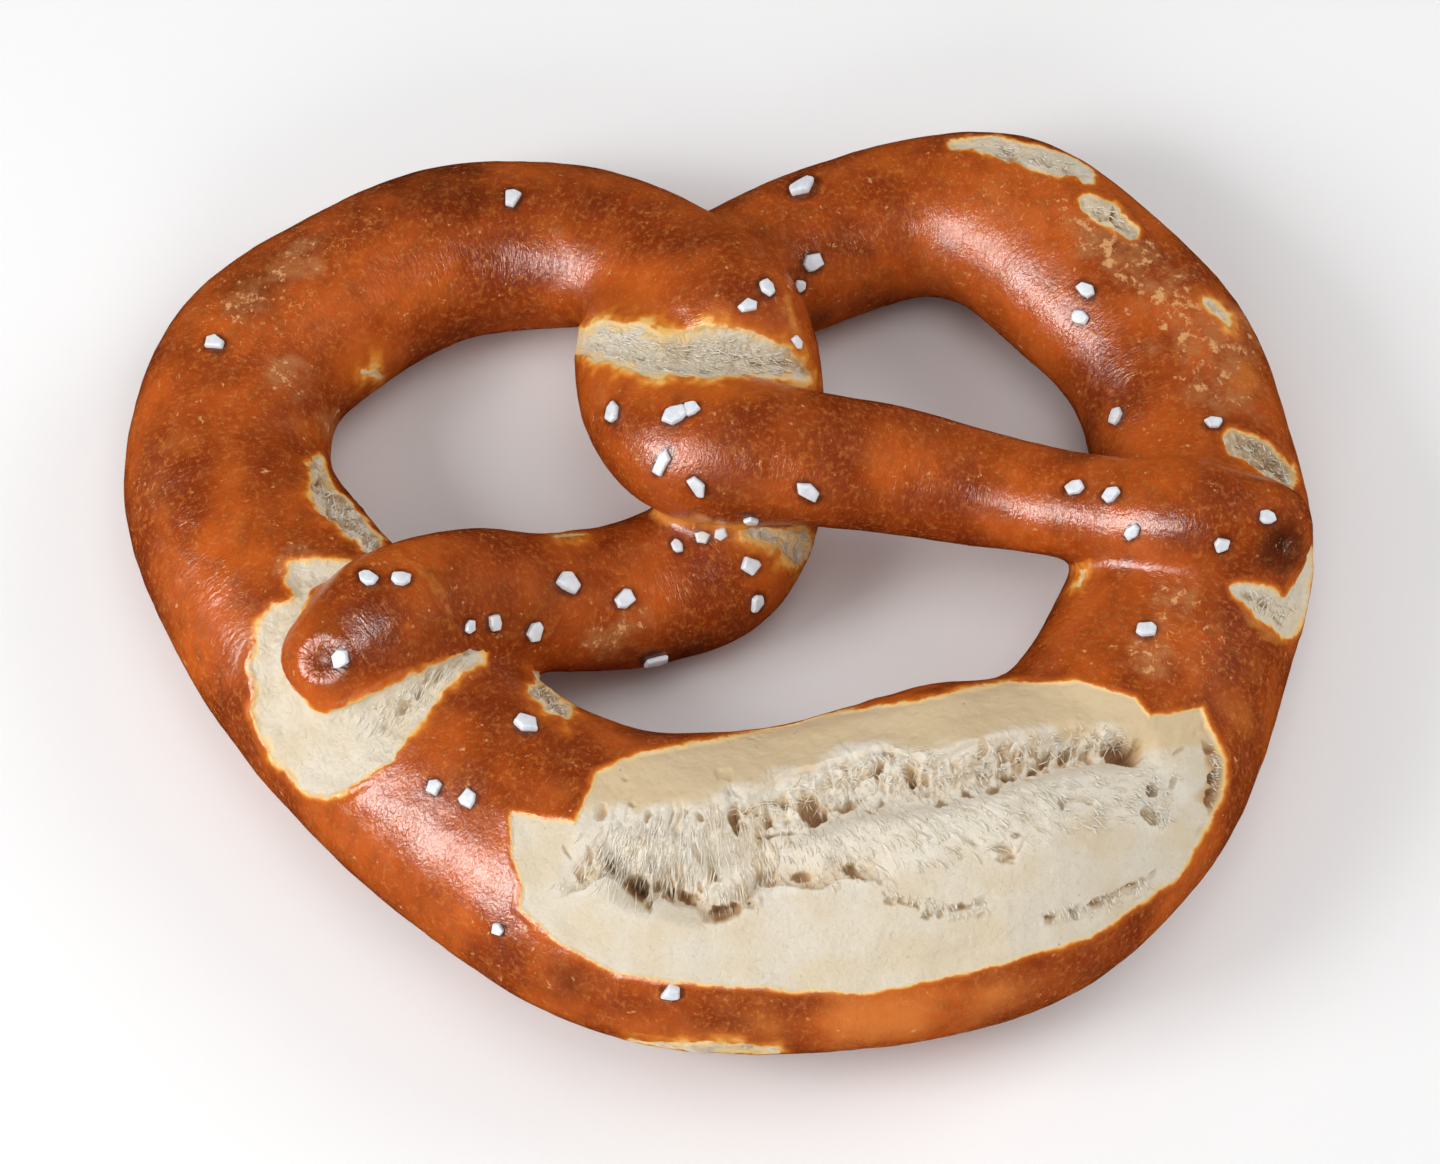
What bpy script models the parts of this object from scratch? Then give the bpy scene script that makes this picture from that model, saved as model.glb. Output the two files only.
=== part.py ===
"""A Bavarian pretzel as one solid: a rope of dough swept along its knotted centre line and fused
where it crosses itself, with its crust torn open and its coarse salt baked on.

Lengths are in millimetres until a mesh is made, which is in metres, with +Z up, the thick belly
towards -Y and the origin on the surface that the pretzel lies on, under the middle of its box.
Tears and salt are placed by the photograph: a pixel of it is followed along the view onto the dough.
"""

import math
from itertools import product

import bmesh
import bpy
import numpy as np
from mathutils import Matrix, Vector
from mathutils.bvhtree import BVHTree

MM = 0.001

# The rope's route, chosen by hand, from the right arm's tip round to the left arm's tip:
# x, y, half width, and how far the rope is lifted above the place where it would rest flat.
ROPE = [
    (76.5, -3.5, 7.5, 17.5),  # right arm's tip, on the outer edge of the ring
    (68.0, -2.5, 8.5, 19.5),
    (53.5, 2.5, 8.0, 16.0),
    (40.5, 8.0, 8.5, 12.0),
    (26.5, 12.0, 9.5, 13.0),
    (11.0, 14.0, 10.0, 16.5),  # crossing over the left strand
    (-2.5, 18.0, 12.0, 15.5),
    (-6.5, 28.0, 12.0, 11.0),  # turning back under the upper crossing
    (-4.5, 40.0, 12.5, 5.5),
    (5.0, 50.5, 11.5, 0.0),
    (15.0, 54.0, 12.0, 0.0),
    (24.5, 57.0, 12.0, 0.0),
    (34.5, 59.0, 12.0, 0.0),
    (47.5, 56.0, 14.0, 0.0),  # right lobe
    (57.5, 45.5, 14.5, 0.0),
    (67.5, 29.5, 14.5, 0.0),
    (70.0, 15.5, 15.0, 0.0),
    (69.0, 0.5, 16.5, 0.0),
    (62.5, -15.5, 17.5, 0.0),
    (47.5, -37.5, 21.0, 0.0),
    (34.0, -44.5, 24.5, 0.0),
    (17.0, -48.0, 24.5, 0.0),  # middle of the belly
    (0.5, -48.5, 23.0, 0.0),
    (-16.5, -45.5, 22.0, 0.0),
    (-33.5, -34.5, 19.5, 0.0),
    (-50.0, -16.5, 19.0, 0.0),
    (-62.5, 2.5, 17.5, 0.0),
    (-70.0, 26.0, 15.0, 0.0),
    (-65.5, 41.5, 14.5, 0.0),  # left lobe
    (-51.5, 52.5, 14.0, 0.0),
    (-36.0, 59.0, 13.5, 0.0),
    (-23.0, 59.5, 13.0, 0.0),
    (-13.0, 56.5, 12.5, 2.5),
    (-4.0, 49.5, 11.5, 8.0),
    (3.0, 39.5, 12.0, 11.5),  # crossing over the right strand
    (5.5, 30.5, 12.0, 9.0),
    (6.0, 22.5, 11.0, 3.0),
    (4.0, 12.0, 11.0, 0.5),  # emerging below the right arm
    (-1.0, 5.5, 11.5, 0.0),
    (-10.5, 1.5, 11.0, 1.0),
    (-23.5, -1.0, 10.5, 5.5),
    (-36.0, -3.0, 10.5, 14.0),
    (-48.0, -8.5, 10.0, 20.0),
    (-55.0, -13.0, 8.0, 21.0),  # left arm's tip, pressed onto the ring
]
SEAT = 0.92  # height of a resting rope's centre, as a share of its half height
SIDES = 40
RING_STEP = 2.0
CAP_RINGS = 8

VOXEL = 1.2
FUSE_PASSES = 10
LUMP = (22.0, 0.4)  # size and height of the dough's gentle unevenness
TRIANGLES = 9000
BASE_REACH = 0.3  # points this low after thinning lie flat on the base

# The photograph's view. Its pixels count from the top left corner.
PHOTO_SIZE = (1440, 1164)
PIXEL = 0.143
VIEW_DISTANCE = 700.0
VIEW_ELEVATION = math.radians(65.0)
VIEW_AZIMUTH = math.radians(-5.5)
VIEW_TARGET = Vector((-0.5, -0.4, 15.0))

# The lips of the great split along the belly, in the photograph's pixels.
SPLIT_LIPS = [
    (510, 812), (560, 820), (575, 822), (597, 772), (640, 754), (740, 735), (835, 711),
    (924, 698), (1000, 683), (1077, 680), (1135, 698), (1150, 716), (1202, 707), (1226, 760),
    (1226, 795), (1181, 877), (1090, 938), (975, 971), (860, 994), (780, 990), (678, 983),
    (615, 975), (560, 944), (519, 907), (521, 884), (510, 854),
]
SPLIT_FACING = 0.1  # the split ends where the dough turns this far from the view
FACING_REACH = 10.0  # how far inside the split a point counts for each unit that it faces the view
SPLIT_STEP = 0.9

# Inside the split: the valley where it tore deepest and its largest holes.
# Rows are the photograph's x and y, and the half width.
VALLEY = [
    (612, 850, 3.0), (640, 880, 5.0), (700, 888, 6.0), (745, 865, 6.0), (790, 810, 5.5),
    (850, 790, 5.0), (930, 782, 5.0), (1010, 760, 5.0), (1070, 745, 4.5), (1140, 745, 3.5),
]
VALLEY_DEPTH = 3.4
VALLEY_SLOPE = 4.5  # width over which it falls to its full depth
HOLES = [
    (630, 885, 2.2), (728, 908, 3.0), (800, 792, 2.6),
    (882, 756, 2.2), (1010, 765, 2.4), (1126, 738, 3.4),
]
HOLE_DEPTH = 1.8
HOLE_SLOPE = 2.0

# The other tears: the step down from the crust, the stretch of the rope that each lies on as shares
# of its length, and its middle line, with rows as above.
TEARS = {
    "left_collar": (1.5, (0.55, 0.75), [
        (305, 574, 1.9), (278, 618, 1.9), (268, 670, 2.9), (285, 728, 4.3), (325, 752, 6.0),
        (375, 722, 5.4), (420, 690, 3.4), (450, 665, 2.0), (474, 653, 1.3),
    ]),
    "right_collar_above": (1.4, (0.30, 0.45), [
        (1238, 442, 1.9), (1262, 456, 2.3), (1290, 478, 1.7), (1308, 515, 1.3), (1311, 560, 1.4),
    ]),
    "right_collar_below": (1.4, (0.30, 0.45), [
        (1311, 560, 1.4), (1297, 605, 3.1), (1270, 603, 2.9), (1238, 590, 1.3),
    ]),
    "inner": (1.2, (0.55, 0.75), [
        (325, 462, 0.9), (322, 490, 2.6), (345, 508, 2.9), (362, 530, 2.3), (378, 545, 1.7),
    ]),
    "twist": (1.3, (0.0, 1.0), [
        (583, 341, 1.7), (610, 341, 3.4), (640, 345, 3.7), (680, 354, 3.3), (740, 356, 3.7),
        (780, 364, 2.6), (805, 374, 0.9),
    ]),
    "crown": (0.8, (0.0, 1.0), [
        (958, 146, 0.9), (1000, 146, 1.6), (1035, 155, 2.4), (1062, 163, 2.1), (1082, 172, 1.1),
    ]),
    "shoulder": (0.6, (0.0, 1.0), [(1088, 207, 1.0), (1108, 213, 1.6), (1128, 226, 1.0)]),
    "arm_root": (0.8, (0.86, 0.95), [(748, 530, 0.7), (775, 536, 1.7), (800, 546, 2.0)]),
    "hole_edge": (1.0, (0.50, 0.65), [(538, 690, 1.3), (550, 705, 1.9), (560, 716, 0.9)]),
}
DEPTH_SHARE = 0.4  # how much of a distance along the view counts against a tear's half width
LIP = 1.2  # width of the slope from the crust down to the crumb
EDGE_WANDER = (5.0, 0.5)  # size and reach of a tear's uneven edge
CRAGS = (4.5, 0.35)  # size and height of the torn crumb's unevenness

# Where the arms' tips were pressed in: the photograph's x and y, radius and depth.
DIMPLES = [(322, 668, 5.4, 2.0), (1287, 545, 3.6, 1.5)]

# Salt grains: the photograph's x and y, length and width.
SALT = [
    (215, 344, 3.1, 2.3), (512, 199, 2.6, 2.9), (804, 188, 4.0, 2.9), (812, 263, 2.9, 2.6),
    (766, 288, 2.0, 2.9), (747, 306, 2.6, 2.0), (796, 342, 1.6, 1.9), (800, 286, 1.6, 2.0),
    (1086, 290, 2.6, 2.6), (1080, 318, 2.0, 2.3), (1117, 416, 2.0, 2.6), (1214, 423, 2.6, 1.7),
    (613, 413, 2.1, 2.9), (675, 416, 3.7, 2.6), (692, 409, 2.0, 1.7), (663, 461, 2.6, 4.0),
    (698, 486, 2.9, 2.6), (808, 491, 3.1, 3.4), (751, 520, 2.0, 1.7), (677, 546, 1.6, 2.3),
    (702, 537, 2.3, 1.8), (721, 533, 2.0, 2.0), (750, 566, 2.9, 2.6), (757, 602, 2.0, 2.6),
    (568, 584, 3.4, 3.1), (624, 599, 2.9, 2.6), (655, 660, 3.7, 1.8), (534, 632, 2.3, 2.9),
    (494, 623, 2.0, 2.3), (469, 627, 1.6, 2.0), (401, 580, 2.9, 2.0), (368, 579, 3.1, 2.3),
    (341, 659, 2.3, 2.9), (526, 725, 3.7, 2.9), (434, 788, 2.0, 2.3), (468, 799, 2.3, 2.3),
    (499, 929, 1.7, 1.6), (672, 991, 2.9, 2.6), (1074, 489, 2.9, 2.0), (1111, 496, 2.9, 2.3),
    (1133, 532, 2.0, 2.6), (1222, 544, 2.3, 2.3), (1267, 518, 2.4, 2.0), (1146, 630, 2.6, 2.3),
]
GRAIN_CORNERS = 14
GRAIN_THICKNESS = 0.75  # share of the grain's smaller side
GRAIN_SUNK = 0.3  # share of its thickness that is baked into the crust
SALT_SEED = 11
SLIVER = 0.03

CRUST, CRUMB, GRAIN = range(3)
FINISHES = [
    ("crust", (0.30, 0.085, 0.022, 1.0), 0.35),
    ("crumb", (0.74, 0.66, 0.50, 1.0), 0.85),
    ("salt", (0.80, 0.82, 0.84, 1.0), 0.45),
]


def half_height(half_width):
    """A thick rope sags flatter than a thin one."""
    return half_width * (0.97 - 0.0085 * half_width)


def smooth_step(low, high, value):
    share = np.clip((value - low) / (high - low), 0.0, 1.0)
    return share * share * (3.0 - 2.0 * share)


def along(stations, step):
    """The stations joined by one smooth curve, sampled about every step."""
    table = np.array(stations, float)
    span = np.linalg.norm(np.diff(table[:, :2], axis=0), axis=1)
    at = np.concatenate([[0.0], np.cumsum(span)])
    slope = np.gradient(table, at, axis=0)
    wanted = np.linspace(0.0, at[-1], int(at[-1] / step))
    k = np.clip(np.searchsorted(at, wanted, side="right") - 1, 0, len(span) - 1)
    h = span[k][:, None]
    t = ((wanted - at[k]) / span[k])[:, None]
    start = (1 + 2 * t) * (1 - t) ** 2 * table[k] + t * (1 - t) ** 2 * h * slope[k]
    end = t * t * (3 - 2 * t) * table[k + 1] + t * t * (t - 1) * h * slope[k + 1]
    return start + end


def capped(points):
    """The samples with a rounded cap of shrinking rings added beyond each end."""
    def cap(tip, neighbour):
        out = (tip - neighbour)[:2] / np.linalg.norm((tip - neighbour)[:2])
        turns = np.linspace(0.0, math.pi / 2, CAP_RINGS + 1)[1:]
        rows = []
        for turn in turns:
            reach = out * tip[2] * math.sin(turn)
            rows.append([tip[0] + reach[0], tip[1] + reach[1], tip[2], tip[3], math.cos(turn)])
        return rows

    body = np.column_stack([points, np.ones(len(points))])
    first, last = cap(points[0], points[1]), cap(points[-1], points[-2])
    return np.array(first[::-1] + body.tolist() + last)


def rope_mesh():
    """The dough rope as one swept tube that still passes through itself where it crosses."""
    rings = capped(along(ROPE, RING_STEP))
    heading = np.gradient(rings[:, :2], axis=0)
    heading /= np.linalg.norm(heading, axis=1)[:, None]
    bm = bmesh.new()
    previous = None
    for (x, y, half, lift, share), (dx, dy) in zip(rings, heading):
        tall = half_height(half)
        middle = SEAT * tall + lift
        loop = []
        for i in range(SIDES):
            turn = 2 * math.pi * i / SIDES
            across = share * half * math.cos(turn)
            up = middle + share * tall * math.sin(turn)
            loop.append(bm.verts.new(((x - dy * across) * MM, (y + dx * across) * MM, up * MM)))
        if previous is None:
            bm.faces.new(loop)
        else:
            for i in range(SIDES):
                j = (i + 1) % SIDES
                bm.faces.new((previous[i], previous[j], loop[j], loop[i]))
        previous = loop
    bm.faces.new(previous[::-1])
    bmesh.ops.recalc_face_normals(bm, faces=bm.faces)
    mesh = bpy.data.meshes.new("pretzel")
    bm.to_mesh(mesh)
    bm.free()
    return mesh


def applied(obj):
    """Applies the modifiers of obj by giving it the mesh that they make."""
    graph = bpy.context.evaluated_depsgraph_get()
    made = bpy.data.meshes.new_from_object(obj.evaluated_get(graph))
    old = obj.data
    obj.modifiers.clear()
    obj.data = made
    bpy.data.meshes.remove(old)


def fuse(obj):
    """Merges the rope with itself where it crosses, with a soft fillet in each crease."""
    remesh = obj.modifiers.new("Fuse", "REMESH")
    remesh.mode = "VOXEL"
    remesh.voxel_size = VOXEL * MM
    smooth = obj.modifiers.new("Soften", "SMOOTH")
    smooth.factor = 0.5
    smooth.iterations = FUSE_PASSES
    applied(obj)


def read_points(mesh):
    """The mesh's points in millimetres."""
    points = np.empty(len(mesh.vertices) * 3)
    mesh.vertices.foreach_get("co", points)
    return points.reshape(-1, 3) / MM


def read_normals(mesh):
    normals = np.empty(len(mesh.vertices) * 3)
    mesh.vertices.foreach_get("normal", normals)
    return normals.reshape(-1, 3)


def write_points(mesh, points):
    mesh.vertices.foreach_set("co", (points * MM).ravel())
    mesh.update()


def noise(points, size, seed=0):
    """Smooth noise from -1 to 1 that changes over size."""
    place = points / size + seed * 7.31
    cell = np.floor(place).astype(np.int64)
    part = place - cell
    part = part * part * (3.0 - 2.0 * part)
    total = np.zeros(len(points))
    for corner in product((0, 1), repeat=3):
        x, y, z = (cell + corner).T
        mixed = (x * 73856093) ^ (y * 19349663) ^ (z * 83492791) ^ (seed * 40503)
        mixed = ((mixed ^ (mixed >> 13)) * 1274126177) & 0xFFFFFFFF
        value = ((mixed ^ (mixed >> 16)) & 0xFFFF) / 32767.5 - 1.0
        total += value * np.prod(np.where(corner, part, 1.0 - part), axis=1)
    return total


def view_axes():
    """The photograph's look, right and up directions and the eye's place."""
    right = Vector((math.cos(VIEW_AZIMUTH), math.sin(VIEW_AZIMUTH), 0.0))
    level = Vector((-right.y, right.x, 0.0))
    look = level * math.cos(VIEW_ELEVATION) - Vector((0.0, 0.0, math.sin(VIEW_ELEVATION)))
    return look, right, right.cross(look), VIEW_TARGET - look * VIEW_DISTANCE


def seen_at(points):
    """The photograph's pixels at which points are seen."""
    look, right, up, eye = view_axes()
    offset = points - np.array(eye)
    scale = VIEW_DISTANCE / PIXEL / (offset @ np.array(look))
    x = PHOTO_SIZE[0] / 2 + offset @ np.array(right) * scale
    y = PHOTO_SIZE[1] / 2 - offset @ np.array(up) * scale
    return np.column_stack([x, y])


def surface_of(mesh):
    """The mesh's surface in millimetres, for following pixels onto it."""
    points = [v.co / MM for v in mesh.vertices]
    return BVHTree.FromPolygons(points, [p.vertices for p in mesh.polygons])


def landing(surface, x, y):
    """Where the photograph's pixel lands on the surface, and the outward normal there."""
    look, right, up, eye = view_axes()
    across = right * (x - PHOTO_SIZE[0] / 2) * PIXEL
    down = up * (y - PHOTO_SIZE[1] / 2) * PIXEL
    place, normal, _, _ = surface.ray_cast(eye, look * VIEW_DISTANCE + across - down)
    return place, normal


def rope_share(points):
    """Which stretch of the rope each point belongs to, as a share of its length."""
    rings = along(ROPE, RING_STEP)
    middle = np.column_stack([rings[:, :2], SEAT * half_height(rings[:, 2]) + rings[:, 3]])
    nearest = np.empty(len(points))
    for i, point in enumerate(points):
        nearest[i] = np.argmin(np.linalg.norm(middle - point, axis=1) / rings[:, 2])
    return nearest / (len(rings) - 1)


def inside_ribbon(points, surface, rows):
    """How far points are inside a ribbon that follows the rows over the surface; less than 0 outside."""
    look = np.array(view_axes()[0])
    spine = np.array([landing(surface, x, y)[0] for x, y, _ in rows])
    half = np.array([row[2] for row in rows])
    if len(rows) == 1:
        spine, half = np.repeat(spine, 2, axis=0), np.repeat(half, 2)
    best = np.full(len(points), -np.inf)
    for a, b, wide_a, wide_b in zip(spine, spine[1:], half, half[1:]):
        run = b - a
        t = np.clip((points - a) @ run / max(run @ run, 1e-9), 0.0, 1.0)
        away = points - a - t[:, None] * run
        away -= (1.0 - DEPTH_SHARE) * (away @ look)[:, None] * look
        best = np.maximum(best, wide_a + t * (wide_b - wide_a) - np.linalg.norm(away, axis=1))
    return best


def inside_split(points, normals):
    """How far points are inside the split's lips as the photograph sees them; less than 0 outside."""
    pixels = seen_at(points)
    lips = np.array(SPLIT_LIPS, float)
    crossings = np.zeros(len(points), int)
    nearest = np.full(len(points), np.inf)
    for a, b in zip(lips, np.roll(lips, -1, axis=0)):
        run = b - a
        t = np.clip((pixels - a) @ run / (run @ run), 0.0, 1.0)
        nearest = np.minimum(nearest, np.linalg.norm(pixels - a - t[:, None] * run, axis=1))
        if a[1] != b[1]:
            spans = (a[1] > pixels[:, 1]) != (b[1] > pixels[:, 1])
            crossings += spans & (pixels[:, 0] < a[0] + (pixels[:, 1] - a[1]) * run[0] / run[1])
    inside = np.where(crossings % 2 == 1, nearest, -nearest) * PIXEL
    facing = -(normals @ np.array(view_axes()[0]))
    return np.minimum(inside, (facing - SPLIT_FACING) * FACING_REACH)


def tears(points, normals, surface):
    """How far points are inside the nearest tear, and how deep the crumb lies below the crust there."""
    wander = noise(points, EDGE_WANDER[0], 3) * EDGE_WANDER[1]
    inside = inside_split(points, normals) + wander
    depth = SPLIT_STEP * smooth_step(-0.3 * LIP, LIP, inside)
    valley = inside_ribbon(points, surface, VALLEY)
    depth += VALLEY_DEPTH * smooth_step(0.0, VALLEY_SLOPE, valley)
    for hole in HOLES:
        depth += HOLE_DEPTH * smooth_step(0.0, HOLE_SLOPE, inside_ribbon(points, surface, [hole]))
    stretch = rope_share(points)
    for step, (first, last), rows in TEARS.values():
        here = inside_ribbon(points, surface, rows) + wander
        here = np.where((stretch >= first) & (stretch <= last), here, -np.inf)
        depth = np.maximum(depth, step * smooth_step(-0.3 * LIP, LIP, here))
        inside = np.maximum(inside, here)
    depth += CRAGS[1] * noise(points, CRAGS[0], 5) * smooth_step(0.0, LIP, inside)
    return inside, depth


def press_dimples(points, surface):
    """How deep the baker's finger left each arm's tip."""
    depth = np.zeros(len(points))
    for x, y, radius, deepest in DIMPLES:
        place = np.array(landing(surface, x, y)[0])
        away = np.linalg.norm(points - place, axis=1)
        depth += deepest * smooth_step(radius, 0.0, away)
    return depth


def carve(obj, surface):
    """Gives the fused rope its lumps, tears and dimples, and presses its base flat."""
    points, normals = read_points(obj.data), read_normals(obj.data)
    _, depth = tears(points, normals, surface)
    depth += press_dimples(points, surface)
    rise = LUMP[1] * noise(points, LUMP[0], 1) - depth
    points += normals * rise[:, None]
    points[:, 2] = np.maximum(points[:, 2], 0.0)
    write_points(obj.data, points)


def thin_out(obj):
    """Keeps triangles where the surface bends and drops them where it is plain."""
    decimate = obj.modifiers.new("Thin", "DECIMATE")
    obj.data.calc_loop_triangles()
    decimate.ratio = TRIANGLES / len(obj.data.loop_triangles)
    applied(obj)
    points = read_points(obj.data)
    points[:, 2] = np.where(points[:, 2] < BASE_REACH, 0.0, points[:, 2])
    write_points(obj.data, points)


def grain_mesh(length, width, rng):
    """A blunt salt crystal: the hull of a few corners spread over a rounded block."""
    thickness = GRAIN_THICKNESS * min(length, width)
    bm = bmesh.new()
    for i in range(GRAIN_CORNERS):
        up = 1.0 - 2.0 * (i + 0.5) / GRAIN_CORNERS
        turn = i * math.pi * (3.0 - math.sqrt(5.0)) + rng.uniform(-0.3, 0.3)
        flat = math.sqrt(1.0 - up * up)
        corner = Vector((flat * math.cos(turn), flat * math.sin(turn), up))
        corner /= sum(abs(c) ** 4 for c in corner) ** 0.25
        corner *= rng.uniform(0.88, 1.0)
        bm.verts.new((corner.x * length / 2, corner.y * width / 2, corner.z * thickness / 2))
    bmesh.ops.convex_hull(bm, input=bm.verts)
    bmesh.ops.triangulate(bm, faces=bm.faces)
    bmesh.ops.scale(bm, vec=(MM, MM, MM), verts=bm.verts)
    bmesh.ops.recalc_face_normals(bm, faces=bm.faces)
    mesh = bpy.data.meshes.new("salt")
    bm.to_mesh(mesh)
    bm.free()
    return mesh, thickness


def salt_grains(surface):
    """All the grains, each lying on the dough with its length along the photograph's rows."""
    rng = np.random.default_rng(SALT_SEED)
    right = view_axes()[1]
    grains = bpy.data.collections.new("salt")
    bpy.context.scene.collection.children.link(grains)
    for x, y, length, width in SALT:
        place, normal = landing(surface, x, y)
        mesh, thickness = grain_mesh(length, width, rng)
        side = (right - normal * right.dot(normal)).normalized()
        turned = Matrix((side, normal.cross(side), normal)).transposed()
        centre = place + normal * thickness * (0.5 - GRAIN_SUNK)
        mesh.transform(Matrix.Translation(centre * MM) @ turned.to_4x4())
        grains.objects.link(bpy.data.objects.new("salt", mesh))
    return grains


def add_finishes(mesh):
    for name, colour, roughness in FINISHES:
        material = bpy.data.materials.get(name) or bpy.data.materials.new(name)
        material.use_nodes = True
        shader = material.node_tree.nodes["Principled BSDF"]
        shader.inputs["Base Color"].default_value = colour
        shader.inputs["Roughness"].default_value = roughness
        mesh.materials.append(material)


def finish_dough(mesh, surface):
    """Gives the faces inside tears the crumb's finish."""
    mesh.materials.clear()
    add_finishes(mesh)
    centres = np.array([p.center / MM for p in mesh.polygons])
    normals = np.array([p.normal for p in mesh.polygons])
    inside, _ = tears(centres, normals, surface)
    mesh.polygons.foreach_set("material_index", np.where(inside > 0.0, CRUMB, CRUST))
    mesh.shade_smooth()


def drop_slivers(mesh):
    """Removes the needles that fusing leaves round each grain."""
    bm = bmesh.new()
    bm.from_mesh(mesh)
    bmesh.ops.triangulate(bm, faces=bm.faces)
    bmesh.ops.dissolve_degenerate(bm, dist=SLIVER * MM, edges=bm.edges)
    bmesh.ops.triangulate(bm, faces=bm.faces)
    bm.to_mesh(mesh)
    bm.free()


def add_salt(obj, surface):
    """Fuses the grains to the dough, which is carved by now, and clears them away."""
    grains = salt_grains(surface)
    for grain in grains.objects:
        add_finishes(grain.data)
        grain.data.polygons.foreach_set("material_index", [GRAIN] * len(grain.data.polygons))
    join = obj.modifiers.new("Salt", "BOOLEAN")
    join.operation = "UNION"
    join.operand_type = "COLLECTION"
    join.collection = grains
    applied(obj)
    drop_slivers(obj.data)
    for grain in list(grains.objects):
        bpy.data.objects.remove(grain)
    bpy.data.collections.remove(grains)


def centre(mesh):
    """Moves the solid so that the middle of its box is over the origin."""
    points = read_points(mesh)
    points[:, :2] -= (points.min(axis=0) + points.max(axis=0))[:2] / 2
    write_points(mesh, points)


def main():
    for old in list(bpy.data.objects):
        bpy.data.objects.remove(old)
    pretzel = bpy.data.objects.new("pretzel", rope_mesh())
    bpy.context.scene.collection.objects.link(pretzel)
    fuse(pretzel)
    whole = surface_of(pretzel.data)
    carve(pretzel, whole)
    thin_out(pretzel)
    finish_dough(pretzel.data, whole)
    add_salt(pretzel, surface_of(pretzel.data))
    centre(pretzel.data)


main()
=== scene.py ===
"""A Bavarian pretzel's looks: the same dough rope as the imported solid, with the torn crumb, the
baked crust and the salt worked out finely, on a pale floor under soft studio light.

Lengths are in millimetres until a mesh is made, which is in metres, with +Z up, the thick belly
towards -Y and the origin on the surface that the pretzel lies on, under the middle of its box.
Tears, holes and salt are placed by the photograph: a pixel of it is followed along the view onto
the dough.
"""

import math
from itertools import product

import bmesh
import bpy
import numpy as np
from mathutils import Matrix, Vector
from mathutils.bvhtree import BVHTree


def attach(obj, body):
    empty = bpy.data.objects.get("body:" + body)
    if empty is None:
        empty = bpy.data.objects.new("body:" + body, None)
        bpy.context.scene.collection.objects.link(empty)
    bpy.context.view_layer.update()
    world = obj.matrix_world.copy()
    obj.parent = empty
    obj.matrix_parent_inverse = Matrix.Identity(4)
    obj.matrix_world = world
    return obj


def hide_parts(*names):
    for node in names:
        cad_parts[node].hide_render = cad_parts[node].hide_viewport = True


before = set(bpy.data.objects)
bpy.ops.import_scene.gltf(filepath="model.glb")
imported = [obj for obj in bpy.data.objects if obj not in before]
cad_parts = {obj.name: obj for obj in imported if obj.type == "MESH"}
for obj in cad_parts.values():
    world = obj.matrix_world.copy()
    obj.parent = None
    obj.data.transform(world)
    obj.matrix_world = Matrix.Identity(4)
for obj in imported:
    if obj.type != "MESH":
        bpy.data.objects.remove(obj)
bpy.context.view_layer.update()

MM = 0.001

# The rope's route, from the right arm's tip round to the left arm's tip:
# x, y, half width, and how far the rope is lifted above the place where it would rest flat.
ROPE = [
    (76.5, -3.5, 7.5, 17.5),  # right arm's tip, on the outer edge of the ring
    (68.0, -2.5, 8.5, 19.5),
    (53.5, 2.5, 8.0, 16.0),
    (40.5, 8.0, 8.5, 12.0),
    (26.5, 12.0, 9.5, 13.0),
    (11.0, 14.0, 10.0, 16.5),  # crossing over the left strand
    (-2.5, 18.0, 12.0, 15.5),
    (-6.5, 28.0, 12.0, 11.0),  # turning back under the upper crossing
    (-4.5, 40.0, 12.5, 5.5),
    (5.0, 50.5, 11.5, 0.0),
    (15.0, 54.0, 12.0, 0.0),
    (24.5, 57.0, 12.0, 0.0),
    (34.5, 59.0, 12.0, 0.0),
    (47.5, 56.0, 14.0, 0.0),  # right lobe
    (57.5, 45.5, 14.5, 0.0),
    (67.5, 29.5, 14.5, 0.0),
    (70.0, 15.5, 15.0, 0.0),
    (69.0, 0.5, 16.5, 0.0),
    (62.5, -15.5, 17.5, 0.0),
    (47.5, -37.5, 21.0, 0.0),
    (34.0, -44.5, 24.5, 0.0),
    (17.0, -48.0, 24.5, 0.0),  # middle of the belly
    (0.5, -48.5, 23.0, 0.0),
    (-16.5, -45.5, 22.0, 0.0),
    (-33.5, -34.5, 19.5, 0.0),
    (-50.0, -16.5, 19.0, 0.0),
    (-62.5, 2.5, 17.5, 0.0),
    (-70.0, 26.0, 15.0, 0.0),
    (-65.5, 41.5, 14.5, 0.0),  # left lobe
    (-51.5, 52.5, 14.0, 0.0),
    (-36.0, 59.0, 13.5, 0.0),
    (-23.0, 59.5, 13.0, 0.0),
    (-13.0, 56.5, 12.5, 2.5),
    (-4.0, 49.5, 11.5, 8.0),
    (3.0, 39.5, 12.0, 11.5),  # crossing over the right strand
    (5.5, 30.5, 12.0, 9.0),
    (6.0, 22.5, 11.0, 3.0),
    (4.0, 12.0, 11.0, 0.5),  # emerging below the right arm
    (-1.0, 5.5, 11.5, 0.0),
    (-10.5, 1.5, 11.0, 1.0),
    (-23.5, -1.0, 10.5, 5.5),
    (-36.0, -3.0, 10.5, 14.0),
    (-48.0, -8.5, 10.0, 20.0),
    (-55.0, -13.0, 8.0, 21.0),  # left arm's tip, pressed onto the ring
]
SEAT = 0.92  # height of a resting rope's centre, as a share of its half height
TALLNESS = 0.97  # the thinnest rope's height as a share of its width
SLUMP = 0.0085  # how far that share falls for each millimetre of half width
SIDES = 40
RING_STEP = 2.0
CAP_RINGS = 8

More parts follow.
